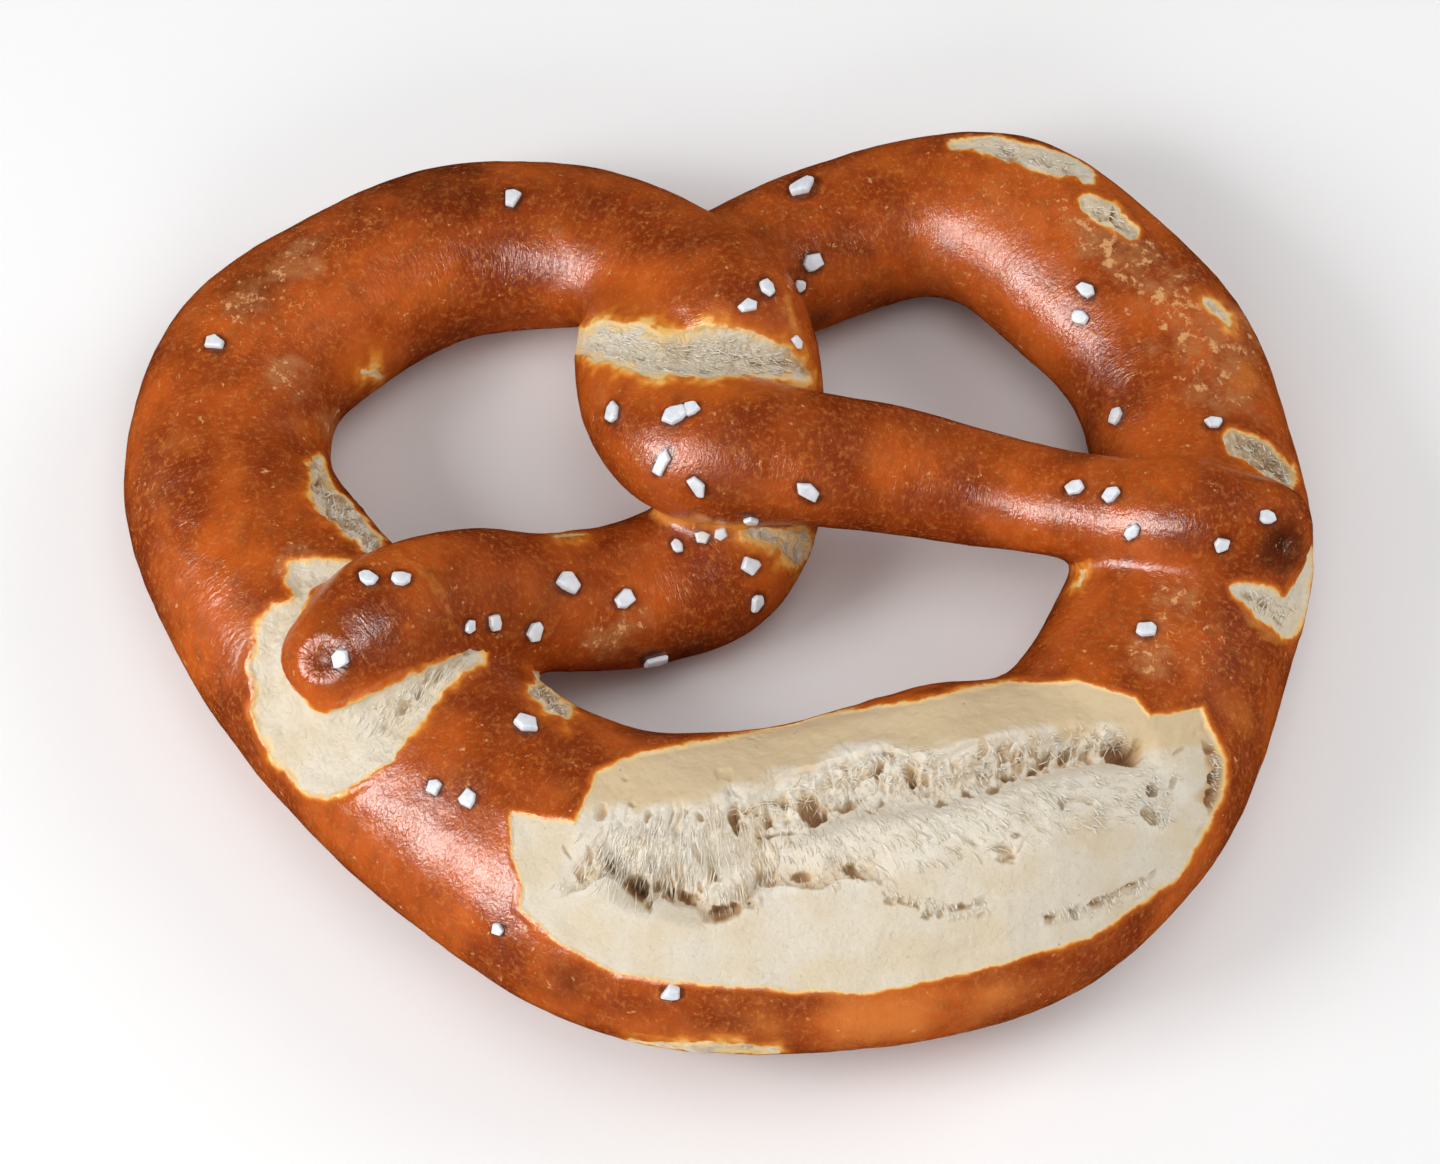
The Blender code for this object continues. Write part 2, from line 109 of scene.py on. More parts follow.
VOXEL = 1.2
FUSE_PASSES = 10
LUMP = (22.0, 0.4)  # size and height of the dough's gentle unevenness
DENTS = (5.0, 0.10)
PUCKER = (1.9, 0.05)
TORN_CUTS = 2  # how often each edge near a tear is cut, so that the crumb can be fine
TORN_MARGIN = 1.6

# The photograph's view. Its pixels count from the top left corner.
PHOTO_SIZE = (1440, 1164)
PIXEL = 0.143
VIEW_DISTANCE = 700.0
VIEW_ELEVATION = math.radians(65.0)
VIEW_AZIMUTH = math.radians(-5.5)
VIEW_TARGET = Vector((-0.5, -0.4, 15.0))
SENSOR_WIDTH = 36.0

# The lips of the great split along the belly, in the photograph's pixels.
SPLIT_LIPS = [
    (510, 812), (560, 820), (575, 822), (597, 772), (640, 754), (740, 735), (835, 711), (924, 698),
    (1000, 683), (1077, 680), (1135, 698), (1150, 716), (1202, 707), (1226, 760), (1226, 795),
    (1181, 877), (1090, 938), (975, 971), (860, 994), (780, 990), (678, 983), (615, 975), (560, 944),
    (519, 907), (521, 884), (510, 854),
]
SPLIT_FACING = 0.1  # the split ends where the dough turns this far from the view
FACING_REACH = 10.0  # how far inside the split a point counts for each unit that it faces the view
SPLIT_STEP = 0.9

# The valley where the split tore deepest: the photograph's x and y, and the half width.
VALLEY = [
    (612, 850, 3.0), (640, 880, 5.0), (700, 888, 6.0), (745, 865, 6.0), (790, 810, 5.5), (850, 790, 5.0),
    (930, 782, 5.0), (1010, 760, 5.0), (1070, 745, 4.5), (1140, 745, 3.5),
]
VALLEY_DEPTH = 3.4
VALLEY_SLOPE = 4.5  # width over which it falls to its full depth

# The part of the split whose dough pulled out into strands, in the photograph's pixels.
STRANDED = [
    (572, 802), (640, 798), (700, 796), (745, 780), (800, 762), (860, 735), (927, 742), (979, 732),
    (1034, 722), (1109, 722), (1160, 745), (1190, 790), (1170, 835), (1100, 810), (1040, 850),
    (1008, 872), (960, 850), (920, 870), (880, 885), (800, 890), (755, 908), (715, 922), (650, 912),
    (610, 888), (575, 890), (562, 850),
]
STRAND_DEPTH = 1.0
# Strands, from the broad ones to the finest: how far apart, how long, how wide and how high.
STRANDS = [(3.4, 9.0, 0.20, 1.0), (1.5, 5.5, 0.26, 0.8), (0.75, 3.0, 0.34, 0.5)]
# How deep it is between the strands, at pixels from the left.
STRAND_REACH = [(560, 1.0), (760, 0.9), (880, 0.4), (1200, 0.2)]
# How far the strands lean from upright in the picture, in degrees, at pixels from the left.
LEAN = [
    (560, -22.0), (640, -12.0), (700, 2.0), (780, 14.0), (860, 32.0), (960, 50.0), (1100, 60.0),
    (1200, 64.0),
]

# Where the dough below the strands ends in a ragged shelf, and where the dough above them breaks off.
SHELF = [
    (560, 896), (604, 874), (616, 881), (628, 900), (645, 912), (657, 893), (670, 906), (694, 909),
    (706, 923), (725, 921), (747, 909), (759, 884), (791, 886), (822, 891), (839, 879), (864, 880),
    (892, 880),
]
BRINK = [
    (715, 806), (740, 800), (765, 780), (790, 765), (815, 757), (850, 750), (880, 742), (930, 752),
    (975, 735), (1034, 724), (1100, 722), (1160, 740),
]
BRINK_DEPTH = 0.8
BRINK_FADE = (2.0, 8.0)
# Above this line of pixels the split's upper band dried to a smooth skin.
SKIN_LINE = [(570, 815), (700, 815), (860, 770), (1000, 755), (1150, 745)]
# Each ledge: the depth, where its hollow starts and ends to ease above it, and its line.
LEDGES = [
    (1.6, (1.5, 7.0), SHELF),
    (0.8, (0.3, 1.8), [(876, 888), (893, 904), (915, 910), (935, 921), (950, 915), (972, 911), (995, 903)]),
    (0.7, (0.3, 1.6), [
        (1036, 919), (1052, 924), (1075, 919), (1095, 911), (1120, 903), (1142, 891), (1164, 874),
    ]),
    (0.7, (0.3, 1.6), [(960, 838), (985, 852), (1003, 866), (1018, 858), (1030, 838)]),
    (0.6, (0.2, 1.4), [(1040, 790), (1062, 800), (1085, 800), (1110, 812)]),
]
# Where the crumb is a web of open cells: rows as in the tears.
WEBS = [
    (742, 812, 1.8), (775, 800, 1.6), (812, 790, 3.0), (850, 775, 2.6), (885, 762, 3.2), (925, 766, 3.0),
    (965, 765, 2.0), (1005, 752, 3.0), (1045, 745, 2.6), (1085, 738, 2.2), (1125, 738, 1.6),
]
WEB_DEPTH = 1.1
WEB_CELLS = [(2.3, 0.65), (1.1, 0.4)]
# The shadowed pocket under the crust at the split's right end.
POCKET = [(1206, 727, 0.7), (1219, 749, 1.3), (1223, 774, 1.4), (1220, 800, 1.7), (1211, 826, 0.9)]
POCKET_DEPTH = 0.8

# Torn bubbles in the crumb: the photograph's x and y, half length and half width in millimetres,
# the length's turn from the picture's horizontal in degrees, and the depth.
BUBBLES = [
    (599, 808, 1.2, 0.8, 60, 1.6), (647, 812, 1.2, 0.7, 85, 1.6), (566, 850, 1.2, 0.5, -60, 0.9),
    (577, 872, 1.6, 0.6, -75, 1.2), (587, 852, 1.1, 0.7, 60, 1.2), (605, 860, 1.5, 0.8, -70, 1.6),
    (630, 882, 2.3, 1.9, 60, 3.6), (645, 907, 1.0, 0.6, -65, 1.6), (667, 884, 0.8, 0.7, 0, 2.0),
    (684, 891, 1.6, 1.2, -20, 2.4), (651, 879, 1.0, 0.5, 80, 1.6), (722, 910, 2.7, 1.5, 12, 3.0),
    (750, 903, 0.9, 0.7, 20, 1.8), (734, 815, 2.0, 0.8, -80, 3.0), (700, 811, 0.9, 0.6, -60, 1.5),
    (763, 806, 1.0, 0.7, 85, 1.6), (776, 788, 1.2, 0.7, 10, 1.5), (775, 820, 3.2, 0.35, 4, 2.0),
    (808, 795, 2.7, 2.0, -35, 3.6), (845, 788, 2.2, 1.0, 22, 2.6), (800, 874, 1.3, 1.1, 0, 2.2),
    (851, 869, 1.5, 1.0, -35, 2.2), (769, 877, 1.3, 0.9, 40, 1.0), (724, 768, 1.4, 1.0, -50, 0.6),
    (713, 867, 1.0, 0.4, -80, 1.0), (699, 881, 0.9, 0.4, -75, 1.2), (666, 862, 0.8, 0.5, 70, 1.0),
    (651, 857, 1.5, 0.6, 75, 1.3), (696, 848, 1.7, 0.5, -80, 1.2), (626, 775, 0.5, 0.4, 0, 0.7),
    (631, 800, 0.5, 0.4, 0, 0.8), (876, 757, 1.7, 0.9, 15, 2.4), (908, 764, 1.3, 0.9, -60, 2.2),
    (924, 763, 0.9, 0.6, 80, 1.5), (886, 743, 0.7, 0.6, 0, 1.2), (879, 787, 1.0, 0.7, 60, 1.4),
    (871, 800, 1.0, 0.6, -35, 1.4), (943, 792, 1.2, 1.0, -30, 2.6), (969, 781, 1.6, 0.7, -40, 2.2),
    (998, 778, 1.7, 0.9, 25, 2.2), (1015, 760, 1.3, 1.1, -50, 3.0), (984, 737, 1.1, 0.7, 70, 1.2),
    (1012, 738, 1.6, 1.2, 0, 1.4), (1050, 742, 1.3, 0.9, 60, 2.0), (1039, 753, 1.2, 0.7, 60, 1.8),
    (1071, 736, 1.1, 0.8, 70, 2.0), (1093, 737, 1.0, 0.8, 60, 1.3), (1132, 743, 3.2, 1.7, -36, 3.8),
    (1156, 789, 1.1, 0.8, -60, 2.4), (1155, 814, 1.8, 1.1, -35, 2.2), (1176, 782, 1.1, 0.5, 75, 1.3),
    (1063, 802, 0.9, 0.6, 80, 1.5), (1007, 852, 1.9, 1.3, -50, 1.7), (1018, 834, 0.9, 0.5, 10, 1.2),
    (892, 902, 1.0, 0.6, -30, 1.2), (927, 917, 0.9, 0.5, 20, 1.2), (941, 913, 0.7, 0.5, 60, 1.2),
    (963, 909, 0.7, 0.5, 50, 1.0), (983, 915, 0.8, 0.6, 0, 0.6), (1053, 920, 0.9, 0.6, 20, 1.3),
    (1078, 916, 0.8, 0.6, 20, 1.3), (1104, 903, 2.6, 0.7, 24, 1.3), (1134, 890, 1.2, 0.7, 30, 1.4),
    (1155, 877, 1.0, 0.4, 40, 1.0), (1211, 747, 1.0, 0.8, -70, 1.6), (1218, 776, 1.1, 0.7, -70, 1.8),
    (1216, 800, 1.5, 1.1, 80, 2.2), (1213, 820, 1.2, 0.4, 75, 1.4), (1183, 748, 1.1, 0.4, 30, 0.9),
    (861, 876, 1.2, 0.4, -50, 1.0), (880, 882, 0.9, 0.5, -20, 1.0), (405, 703, 1.9, 0.8, 50, 1.6),
    (420, 690, 1.0, 0.5, 55, 1.2), (459, 660, 1.2, 0.6, 45, 1.2), (470, 654, 1.0, 0.6, 30, 1.3),
    (441, 672, 1.5, 0.5, 55, 1.1), (428, 676, 1.2, 0.4, 60, 0.9), (385, 722, 1.4, 0.4, 45, 0.7),
    (331, 484, 1.2, 0.5, -50, 1.2), (345, 500, 1.6, 0.6, -55, 1.6), (352, 520, 1.4, 0.5, -60, 1.4),
    (336, 516, 1.0, 0.5, -40, 1.0), (367, 534, 1.3, 0.5, -50, 1.5), (357, 506, 1.3, 0.6, -70, 1.7),
    (324, 496, 1.0, 0.4, -50, 0.8), (348, 536, 0.9, 0.4, -30, 0.8), (379, 544, 0.9, 0.4, -20, 0.9),
    (1262, 447, 1.8, 0.8, -40, 2.2), (1272, 455, 1.2, 0.6, -45, 1.7), (1282, 466, 2.0, 0.8, -50, 2.4),
    (1264, 462, 0.9, 0.4, -40, 0.9), (1293, 485, 0.9, 0.4, -60, 0.9), (1244, 450, 0.9, 0.4, -30, 0.6),
    (541, 684, 0.9, 0.4, -70, 1.1), (548, 697, 1.1, 0.5, -60, 1.4), (557, 708, 1.0, 0.4, -50, 1.1),
    (547, 689, 0.7, 0.4, 20, 0.9), (553, 703, 0.6, 0.4, 30, 0.9), (612, 346, 0.9, 0.4, 60, 0.7),
    (640, 351, 1.0, 0.35, 10, 0.8), (668, 362, 1.4, 0.4, -5, 1.0), (700, 363, 1.6, 0.45, -8, 1.1),
    (730, 363, 1.4, 0.45, -5, 1.0), (760, 366, 1.2, 0.4, -20, 0.9), (690, 347, 0.9, 0.3, 70, 0.6),
    (625, 334, 0.8, 0.3, 40, 0.6), (714, 374, 1.2, 0.3, -5, 0.7), (1010, 149, 1.2, 0.5, -20, 0.8),
    (1045, 159, 1.3, 0.5, -25, 0.9), (1068, 168, 0.9, 0.4, -30, 0.8), (1105, 214, 1.2, 0.5, -30, 0.9),
    (1118, 222, 0.9, 0.4, -40, 0.8), (1250, 595, 1.2, 0.6, -20, 1.0), (1268, 604, 1.0, 0.6, -30, 1.0),
    (1284, 622, 1.0, 0.4, -50, 0.7),
]

# Fine threads of crumb that bridge its hollows: how many, the shortest and longest, their lean from
# upright (None follows LEAN), how far each turns from that, how much it curls, and the middle line
# along which they are strewn, with rows as above.
THREADS = [
    (560, (1.6, 5.5), None, 17.0, 16.0, [
        (600, 852, 4.0), (650, 855, 6.0), (700, 850, 7.0), (748, 850, 6.0),
    ]),
    (600, (1.0, 3.2), None, 22.0, 18.0, [
        (790, 850, 4.0), (850, 835, 5.5), (920, 825, 6.5), (985, 815, 6.5), (1050, 800, 5.5),
        (1160, 790, 3.5),
    ]),
    (520, (1.0, 3.2), 0.0, 90.0, 40.0, WEBS),
    (170, (0.9, 2.6), None, 12.0, 10.0, [(x, y - 8, 1.2) for x, y in SHELF]),
    (80, (0.9, 2.2), 20.0, 16.0, 10.0, [
        (1045, 914, 0.9), (1080, 909, 1.2), (1110, 898, 1.4), (1145, 883, 1.1),
    ]),
    (60, (0.9, 2.2), 10.0, 20.0, 10.0, [
        (885, 890, 1.0), (920, 903, 1.2), (950, 908, 1.2), (985, 903, 0.9),
    ]),
    (60, (0.9, 2.4), 40.0, 30.0, 20.0, [(1150, 780, 1.4), (1165, 800, 1.6), (1155, 820, 1.6)]),
    (60, (0.8, 1.8), 70.0, 40.0, 25.0, [(1212, 745, 0.8), (1214, 775, 0.9), (1216, 800, 1.2)]),
    (420, (0.9, 3.0), 78.0, 26.0, 20.0, [
        (595, 341, 2.2), (630, 344, 3.0), (657, 356, 2.4), (708, 355, 3.0), (780, 364, 1.2),
    ]),
    (120, (1.2, 3.4), -28.0, 16.0, 14.0, [
        (372, 728, 3.0), (415, 694, 2.2), (445, 672, 1.3), (466, 659, 0.8),
    ]),
    (110, (0.9, 2.6), -40.0, 50.0, 30.0, [
        (322, 478, 1.5), (340, 508, 2.0), (358, 530, 1.6), (374, 546, 1.0),
    ]),
    (60, (0.9, 2.4), -30.0, 60.0, 30.0, [(542, 686, 1.0), (550, 698, 1.4), (560, 712, 1.0)]),
    (60, (0.9, 2.4), 60.0, 30.0, 25.0, [(990, 146, 1.0), (1035, 155, 1.6), (1070, 167, 1.2)]),
    (40, (0.8, 2.0), 60.0, 40.0, 25.0, [(1092, 207, 0.9), (1108, 213, 1.3), (1125, 225, 0.9)]),
    (70, (0.9, 2.4), 50.0, 50.0, 25.0, [(1240, 442, 1.4), (1262, 455, 1.8), (1286, 476, 1.4)]),
    (60, (0.9, 2.4), 0.0, 60.0, 25.0, [(1245, 594, 1.0), (1268, 602, 1.6), (1290, 614, 1.8)]),
]
THREAD_STEPS = 6
THREAD_RADIUS = (0.06, 0.14)
THREAD_BOW = 0.35  # how far a thread may stand off what it crosses
THREAD_GAP = 2.2  # the deepest hollow that a thread bridges
THREAD_CLEAR = 0.5  # how far inside a tear it stays
THREAD_SPAN = 8.0  # the longest that it may be from end to end
THREAD_SEED = 29

# The other tears: the step down from the crust, the stretch of the rope that each lies on as shares
# of its length, how grey (below 0, how pale: painted light that lifts crumb the lamps leave dim), how
# brown and how rugged its crumb is, the width of the golden fringe round it, and its middle line: the
# photograph's x and y and the half width.
TEARS = {
    "left_collar": (1.5, (0.55, 0.75), 0.0, 0.0, 1.1, 0.45, [
        (347, 566, 0.8), (325, 571, 1.8), (300, 577, 2.4), (303, 598, 1.2), (285, 617, 2.6),
        (268, 640, 2.4), (266, 668, 2.9), (273, 702, 3.7), (292, 738, 5.0), (325, 756, 5.8),
        (365, 737, 5.3), (402, 706, 3.8), (440, 676, 2.3), (472, 656, 1.2),
    ]),
    "right_collar_above": (1.4, (0.30, 0.45), -0.9, 0.5, 2.2, 0.35, [
        (1238, 440, 2.0), (1262, 453, 2.4), (1286, 475, 2.0), (1304, 508, 1.2), (1311, 560, 1.2),
    ]),
    "right_collar_below": (1.4, (0.30, 0.45), -1.0, 0.0, 1.1, 0.35, [
        (1311, 560, 1.4), (1301, 598, 2.6), (1288, 616, 2.9), (1262, 601, 2.1), (1234, 589, 1.1),
    ]),
    "inner": (1.2, (0.55, 0.75), -0.4, 0.6, 2.8, 0.35, [
        (320, 462, 0.9), (319, 486, 2.4), (338, 506, 2.7), (356, 528, 2.4), (371, 545, 1.7), (388, 549, 1.0),
    ]),
    "twist": (1.3, (0.0, 1.0), -1.0, 0.0, 1.0, 1.2, [
        (580, 340, 2.0), (605, 340, 3.4), (630, 343, 3.9), (657, 357, 3.2), (708, 354, 4.2),
        (748, 356, 3.4), (783, 364, 2.1), (806, 376, 0.8),
    ]),
    "crown": (0.8, (0.0, 1.0), -1.0, 0.1, 1.9, 0.3, [
        (955, 146, 0.9), (1000, 146, 1.6), (1035, 155, 2.3), (1062, 163, 2.1), (1085, 173, 1.1),
    ]),
    "shoulder": (0.6, (0.0, 1.0), -1.0, 0.2, 1.9, 0.35, [
        (1088, 205, 1.1), (1108, 213, 1.7), (1130, 228, 1.1),
    ]),
    "arm_root": (0.8, (0.86, 0.95), 0.25, 0.1, 1.2, 1.8, [
        (752, 530, 0.6), (780, 538, 1.6), (802, 550, 2.0),
    ]),
    "hole_edge": (1.0, (0.50, 0.65), 0.0, 0.6, 2.6, 0.6, [
        (537, 674, 0.8), (545, 690, 1.8), (556, 707, 1.9), (566, 718, 0.9),
    ]),
    "arm_tip": (0.6, (0.86, 1.0), 0.2, 0.0, 1.0, 0.8, [(345, 563, 0.5), (358, 558, 0.6)]),
    "arm_edge": (0.4, (0.86, 1.0), 0.2, 0.3, 1.2, 0.8, [(556, 536, 0.4), (572, 535, 0.7), (584, 536, 0.3)]),
    "corner": (0.5, (0.30, 0.45), 0.1, 0.2, 1.2, 1.2, [(1084, 572, 0.5), (1080, 586, 0.7)]),
    "base_strip": (0.3, (0.40, 0.64), 0.1, 0.3, 1.5, 0.8, [
        (634, 1041, 0.7), (700, 1045, 1.1), (772, 1049, 0.9),
    ]),
    "speck_left": (0.3, (0.65, 0.80), 0.1, 0.3, 1.2, 1.4, [
        (362, 372, 0.3), (374, 371, 0.5), (379, 376, 0.3),
    ]),
    "speck_right": (0.3, (0.20, 0.40), 0.1, 0.4, 1.2, 0.8, [
        (1205, 302, 0.5), (1224, 318, 0.7), (1228, 326, 0.3),
    ]),
}
DEPTH_SHARE = 0.4  # how much of a distance along the view counts against a tear's half width
LIP = 0.4  # width of the crust's own broken edge
LIP_SHARE = 0.3  # share of the step down that the crust's thickness makes
SAG = 3.2  # width over which the crumb sinks by the rest
CURL = (0.6, 0.2)  # width and height of the crust's raised edge
# Sizes and reaches of a tear's uneven edge.
EDGE_WANDER = [(4.7, 0.5), (2.1, 0.28), (1.1, 0.16), (0.6, 0.1)]
SPLIT_WANDER = 0.3  # how uneven the split's edge is beside the others
SPLIT_CRAGS = 0.7
SPLIT_FRINGE = 0.24
CRAGS = [(4.5, 0.35), (1.6, 0.16), (0.7, 0.07)]
# Crevices in crumb more rugged than 1: their width, as a share of the noise that they follow, and
# their depth for each unit of ruggedness above 1.
CREVICE_WIDTH = 0.22
CREVICE_DEPTH = 1.3
# Fibres in the smaller tears: their depth, then how far apart, how long and their lean in degrees.
FIBRE_DEPTH = 0.15
FIBRES = (0.55, 2.6, 14.0)

# Where the directions along and round the rope jump, the crust's wrinkles fade: the least jump in
# millimetres, and how many edges of the mesh the fade runs.
SEAM_JUMP = 2.5
SEAM_PASSES = 8

# Golden creases and paler lines in the crust: rows as in the tears, with a strength and a rise.
CREASES = [
    (1.0, -0.1, [(655, 512, 0.8), (700, 520, 1.3), (740, 531, 1.6), (775, 545, 1.6), (800, 556, 1.2)]),
    (0.8, 0.1, [(786, 300, 0.5), (797, 340, 0.9), (808, 385, 1.0)]),
    (0.3, 0.1, [(396, 556, 0.5), (420, 572, 0.6), (439, 593, 0.7), (450, 615, 0.7), (452, 640, 0.6)]),
    (0.7, 0.0, [(362, 440, 0.9), (375, 452, 0.8), (370, 425, 0.6)]),
    (0.5, 0.0, [(1250, 610, 1.5), (1278, 632, 1.5), (1300, 628, 1.0)]),
]

# Places where the crust is darker (above 0) or lighter: the photograph's x and y, radius, strength. They are
# partly the crust's own tone, such as the arms' dark tips, and partly painted shade and painted sheen.
SHADES = [
    (1284, 547, 7.0, 1.4), (320, 662, 6.5, 0.45), (260, 285, 14.0, 0.55), (560, 985, 10.0, 0.6),
    (1180, 500, 10.0, 0.15), (180, 470, 10.0, -0.2), (300, 420, 7.0, -0.2), (1250, 380, 9.0, -0.5),
    (1240, 720, 7.0, -0.3), (390, 620, 14.0, 0.5), (480, 590, 12.0, 0.35), (1080, 455, 5.0, 0.5),
    (830, 250, 9.0, 0.35), (815, 320, 6.0, 0.5), (640, 656, 6.0, 0.5), (690, 650, 6.0, 0.6),
    (330, 640, 9.0, 0.3), (560, 600, 14.0, 0.4), (430, 180, 20.0, 0.6), (700, 240, 10.0, 0.3),
    (600, 175, 14.0, 0.4), (880, 300, 9.0, 0.35), (1245, 420, 8.0, 0.25), (750, 730, 9.0, 0.7),
    (640, 735, 7.0, 0.4), (560, 790, 5.0, -0.3), (180, 680, 12.0, -0.1), (880, 1020, 14.0, -0.75),
    (1000, 995, 9.0, -0.6), (760, 1020, 10.0, -0.5), (1120, 640, 8.0, 0.2), (640, 300, 7.0, -0.3),
    (600, 400, 5.0, -0.4), (430, 280, 8.0, -0.1), (1010, 220, 14.0, -0.15), (1190, 905, 12.0, 0.15),
    (1250, 650, 9.0, -0.2), (930, 400, 9.0, -0.2), (770, 230, 9.0, 0.2),
]
# Where the crust is crazed with pale cracks: the photograph's x and y, and the radius.
CRAZED = [
    (250, 300, 16.0), (340, 230, 12.0), (1010, 210, 14.0), (150, 480, 9.0), (960, 260, 9.0),
    (1060, 240, 9.0), (1190, 300, 10.0), (1200, 640, 10.0), (930, 410, 9.0), (1150, 650, 8.0),
]

# Where the crust is matte and flecked with cream: the photograph's x and y, and the radius.
FLECKED = [
    (1120, 250, 8.0), (1160, 280, 10.0), (1195, 330, 11.0), (1220, 385, 9.0), (1240, 330, 9.0),
    (1090, 225, 7.0), (1150, 650, 7.0), (1175, 600, 6.0), (300, 260, 7.0), (245, 300, 7.0),
    (290, 375, 6.0), (330, 430, 7.0), (300, 560, 6.0), (960, 420, 8.0), (620, 640, 8.0),
]

# Where the arms' tips were pressed in: the photograph's x and y, radius and depth.
DIMPLES = [(321, 660, 3.9, 1.35), (1285, 546, 3.4, 1.3)]

# Salt grains: the photograph's x and y, length, width, and the length's turn from the picture's rows.
SALT = [
    (215, 344, 3.1, 2.3, -20), (512, 199, 2.6, 3.0, 0), (804, 188, 4.2, 3.0, 20), (812, 263, 3.0, 2.7, 0),
    (766, 288, 3.0, 2.0, -60), (747, 306, 2.7, 2.2, 0), (796, 342, 2.2, 1.5, -55),
    (800, 286, 1.6, 2.0, 0), (1086, 290, 2.9, 2.1, -50), (1080, 318, 2.4, 2.0, -30),
    (1117, 416, 2.7, 1.9, 50), (1214, 423, 2.6, 1.8, 0), (613, 413, 3.1, 2.0, 85),
    (675, 416, 3.7, 2.5, 30), (692, 409, 2.1, 2.1, 0), (663, 461, 4.2, 2.0, 60),
    (698, 486, 3.3, 1.9, -50), (808, 491, 3.7, 2.3, -40), (751, 520, 2.4, 1.7, -40),
    (677, 546, 2.4, 1.6, -55), (702, 537, 2.4, 1.8, -10), (721, 533, 2.2, 1.9, 30),
    (750, 566, 3.0, 2.5, -10), (757, 602, 2.7, 2.0, 70), (568, 584, 3.5, 2.9, -30),
    (624, 599, 3.0, 2.5, 25), (655, 660, 3.7, 1.9, 0), (534, 632, 2.8, 2.3, 80), (494, 623, 2.5, 2.1, 80),
    (469, 627, 2.1, 1.6, 80), (401, 580, 2.9, 2.1, -10), (368, 579, 3.3, 2.0, -40),
    (341, 659, 2.9, 2.3, 80), (526, 725, 3.5, 2.8, -20), (434, 788, 2.4, 2.1, 80),
    (468, 799, 2.4, 2.3, 60), (499, 929, 1.8, 1.7, 0), (672, 991, 2.9, 2.5, 0), (1074, 489, 3.0, 2.0, 10),
    (1111, 496, 3.0, 2.1, 15), (1133, 532, 2.7, 1.8, 50), (1222, 544, 2.4, 2.1, 30),
    (1267, 518, 2.5, 2.0, 0), (1146, 630, 2.7, 2.2, 0),
]
GRAIN_CORNERS = (5, 7)
GRAIN_LAYERS = [(0.8, -1.0), (1.0, -0.2), (0.98, 0.5), (0.84, 1.0)]  # reach and height of each outline
GRAIN_THICKNESS = 0.5  # share of the grain's smaller side
GRAIN_SUNK = 0.3  # share of its thickness that is baked into the crust
GRAIN_FULL = 1.1  # makes up for the corners that fall short of the grain's box
GRAIN_BEVEL = 0.13
SALT_SEED = 11

# Colours as seen on a screen, 0 to 255. The tones of the crumb's hollows are painted shade, the dark tone
# round the grains' feet is painted shadow, the pale crumb tone is painted light, and the crust's browned and
# lighter tones are partly painted shade and sheen.
TONES = {
    "chestnut": (134, 51, 13), "amber": (196, 89, 25), "umber": (98, 36, 11), "copper": (206, 112, 46),
    "streak": (216, 132, 66), "browned_and_shaded": (78, 30, 11), "burnt": (44, 16, 10), "lighter": (228, 130, 54),
    "crazing": (226, 154, 90), "bare": (186, 120, 66), "fleck": (230, 172, 112), "dot": (228, 160, 100),
    "grain_shadow": (74, 30, 12), "crease": (230, 150, 66), "fringe": (200, 98, 28), "golden": (230, 142, 50),
    "rim": (244, 196, 112), "base": (150, 88, 44), "cream": (223, 212, 193), "beige": (220, 203, 174),
    "strand": (236, 228, 214), "skin": (214, 189, 148), "grey": (186, 172, 152), "pale": (255, 249, 234),
    "brown": (150, 100, 50), "stain": (196, 168, 126), "pore": (160, 122, 78), "hollow": (214, 184, 142),
    "deep": (172, 128, 84), "lip": (238, 202, 136), "salt": (236, 240, 245), "cloudy": (220, 225, 232),
    "stained": (228, 214, 190), "thread": (246, 240, 227), "warm thread": (238, 224, 198),
    "dark thread": (214, 190, 150), "floor": (247, 247, 247), "floor light": (250, 250, 250),
}
CRUST_IOR = 1.45
CRUST_ROUGHNESS = (0.20, 0.28)
CRUMB_ROUGHNESS = 0.9
BUMP_DEPTH = 0.11
SALT_SCATTER = 0.0008  # how far light spreads in a grain, in metres

WORLD_STRENGTH = 0.33
LAMP_AIM = (0.0, 0.0, 0.01)
# Lamps: name, place and size in metres, power, and whether they show only in the gloss or only light.
LAMPS = [
    ("key", (-0.62, -0.12, 0.42), (0.32, 0.32), 3.1, False),
    ("key_gloss", (-0.60, -0.20, 0.46), (0.32, 0.32), 8.8, True),
    ("mid_gloss", (-0.25, -0.30, 0.62), (0.28, 0.28), 3.2, True),
    ("front", (-0.10, -0.75, 0.45), (0.4, 0.3), 1.7, False),
    ("top", (0.10, -0.05, 0.9), (0.5, 0.5), 1.3, False),
    ("right", (0.8, 0.25, 0.5), (0.6, 0.6), 3.1, False),
]
FLOOR_REACH = 3.0


# The rope and its form


def half_height(half_width):
    """A thick rope sags flatter than a thin one."""
    return half_width * (TALLNESS - SLUMP * half_width)


def smooth_step(low, high, value):
    share = np.clip((value - low) / (high - low), 0.0, 1.0)
    return share * share * (3.0 - 2.0 * share)


def along(stations, step):
    """The stations joined by one smooth curve, sampled about every step."""
    table = np.array(stations, float)
    span = np.linalg.norm(np.diff(table[:, :2], axis=0), axis=1)
    at = np.concatenate([[0.0], np.cumsum(span)])
    slope = np.gradient(table, at, axis=0)
    wanted = np.linspace(0.0, at[-1], int(at[-1] / step))
    k = np.clip(np.searchsorted(at, wanted, side="right") - 1, 0, len(span) - 1)
    h = span[k][:, None]
    t = ((wanted - at[k]) / span[k])[:, None]
    start = (1 + 2 * t) * (1 - t) ** 2 * table[k] + t * (1 - t) ** 2 * h * slope[k]
    end = t * t * (3 - 2 * t) * table[k + 1] + t * t * (t - 1) * h * slope[k + 1]
    return start + end


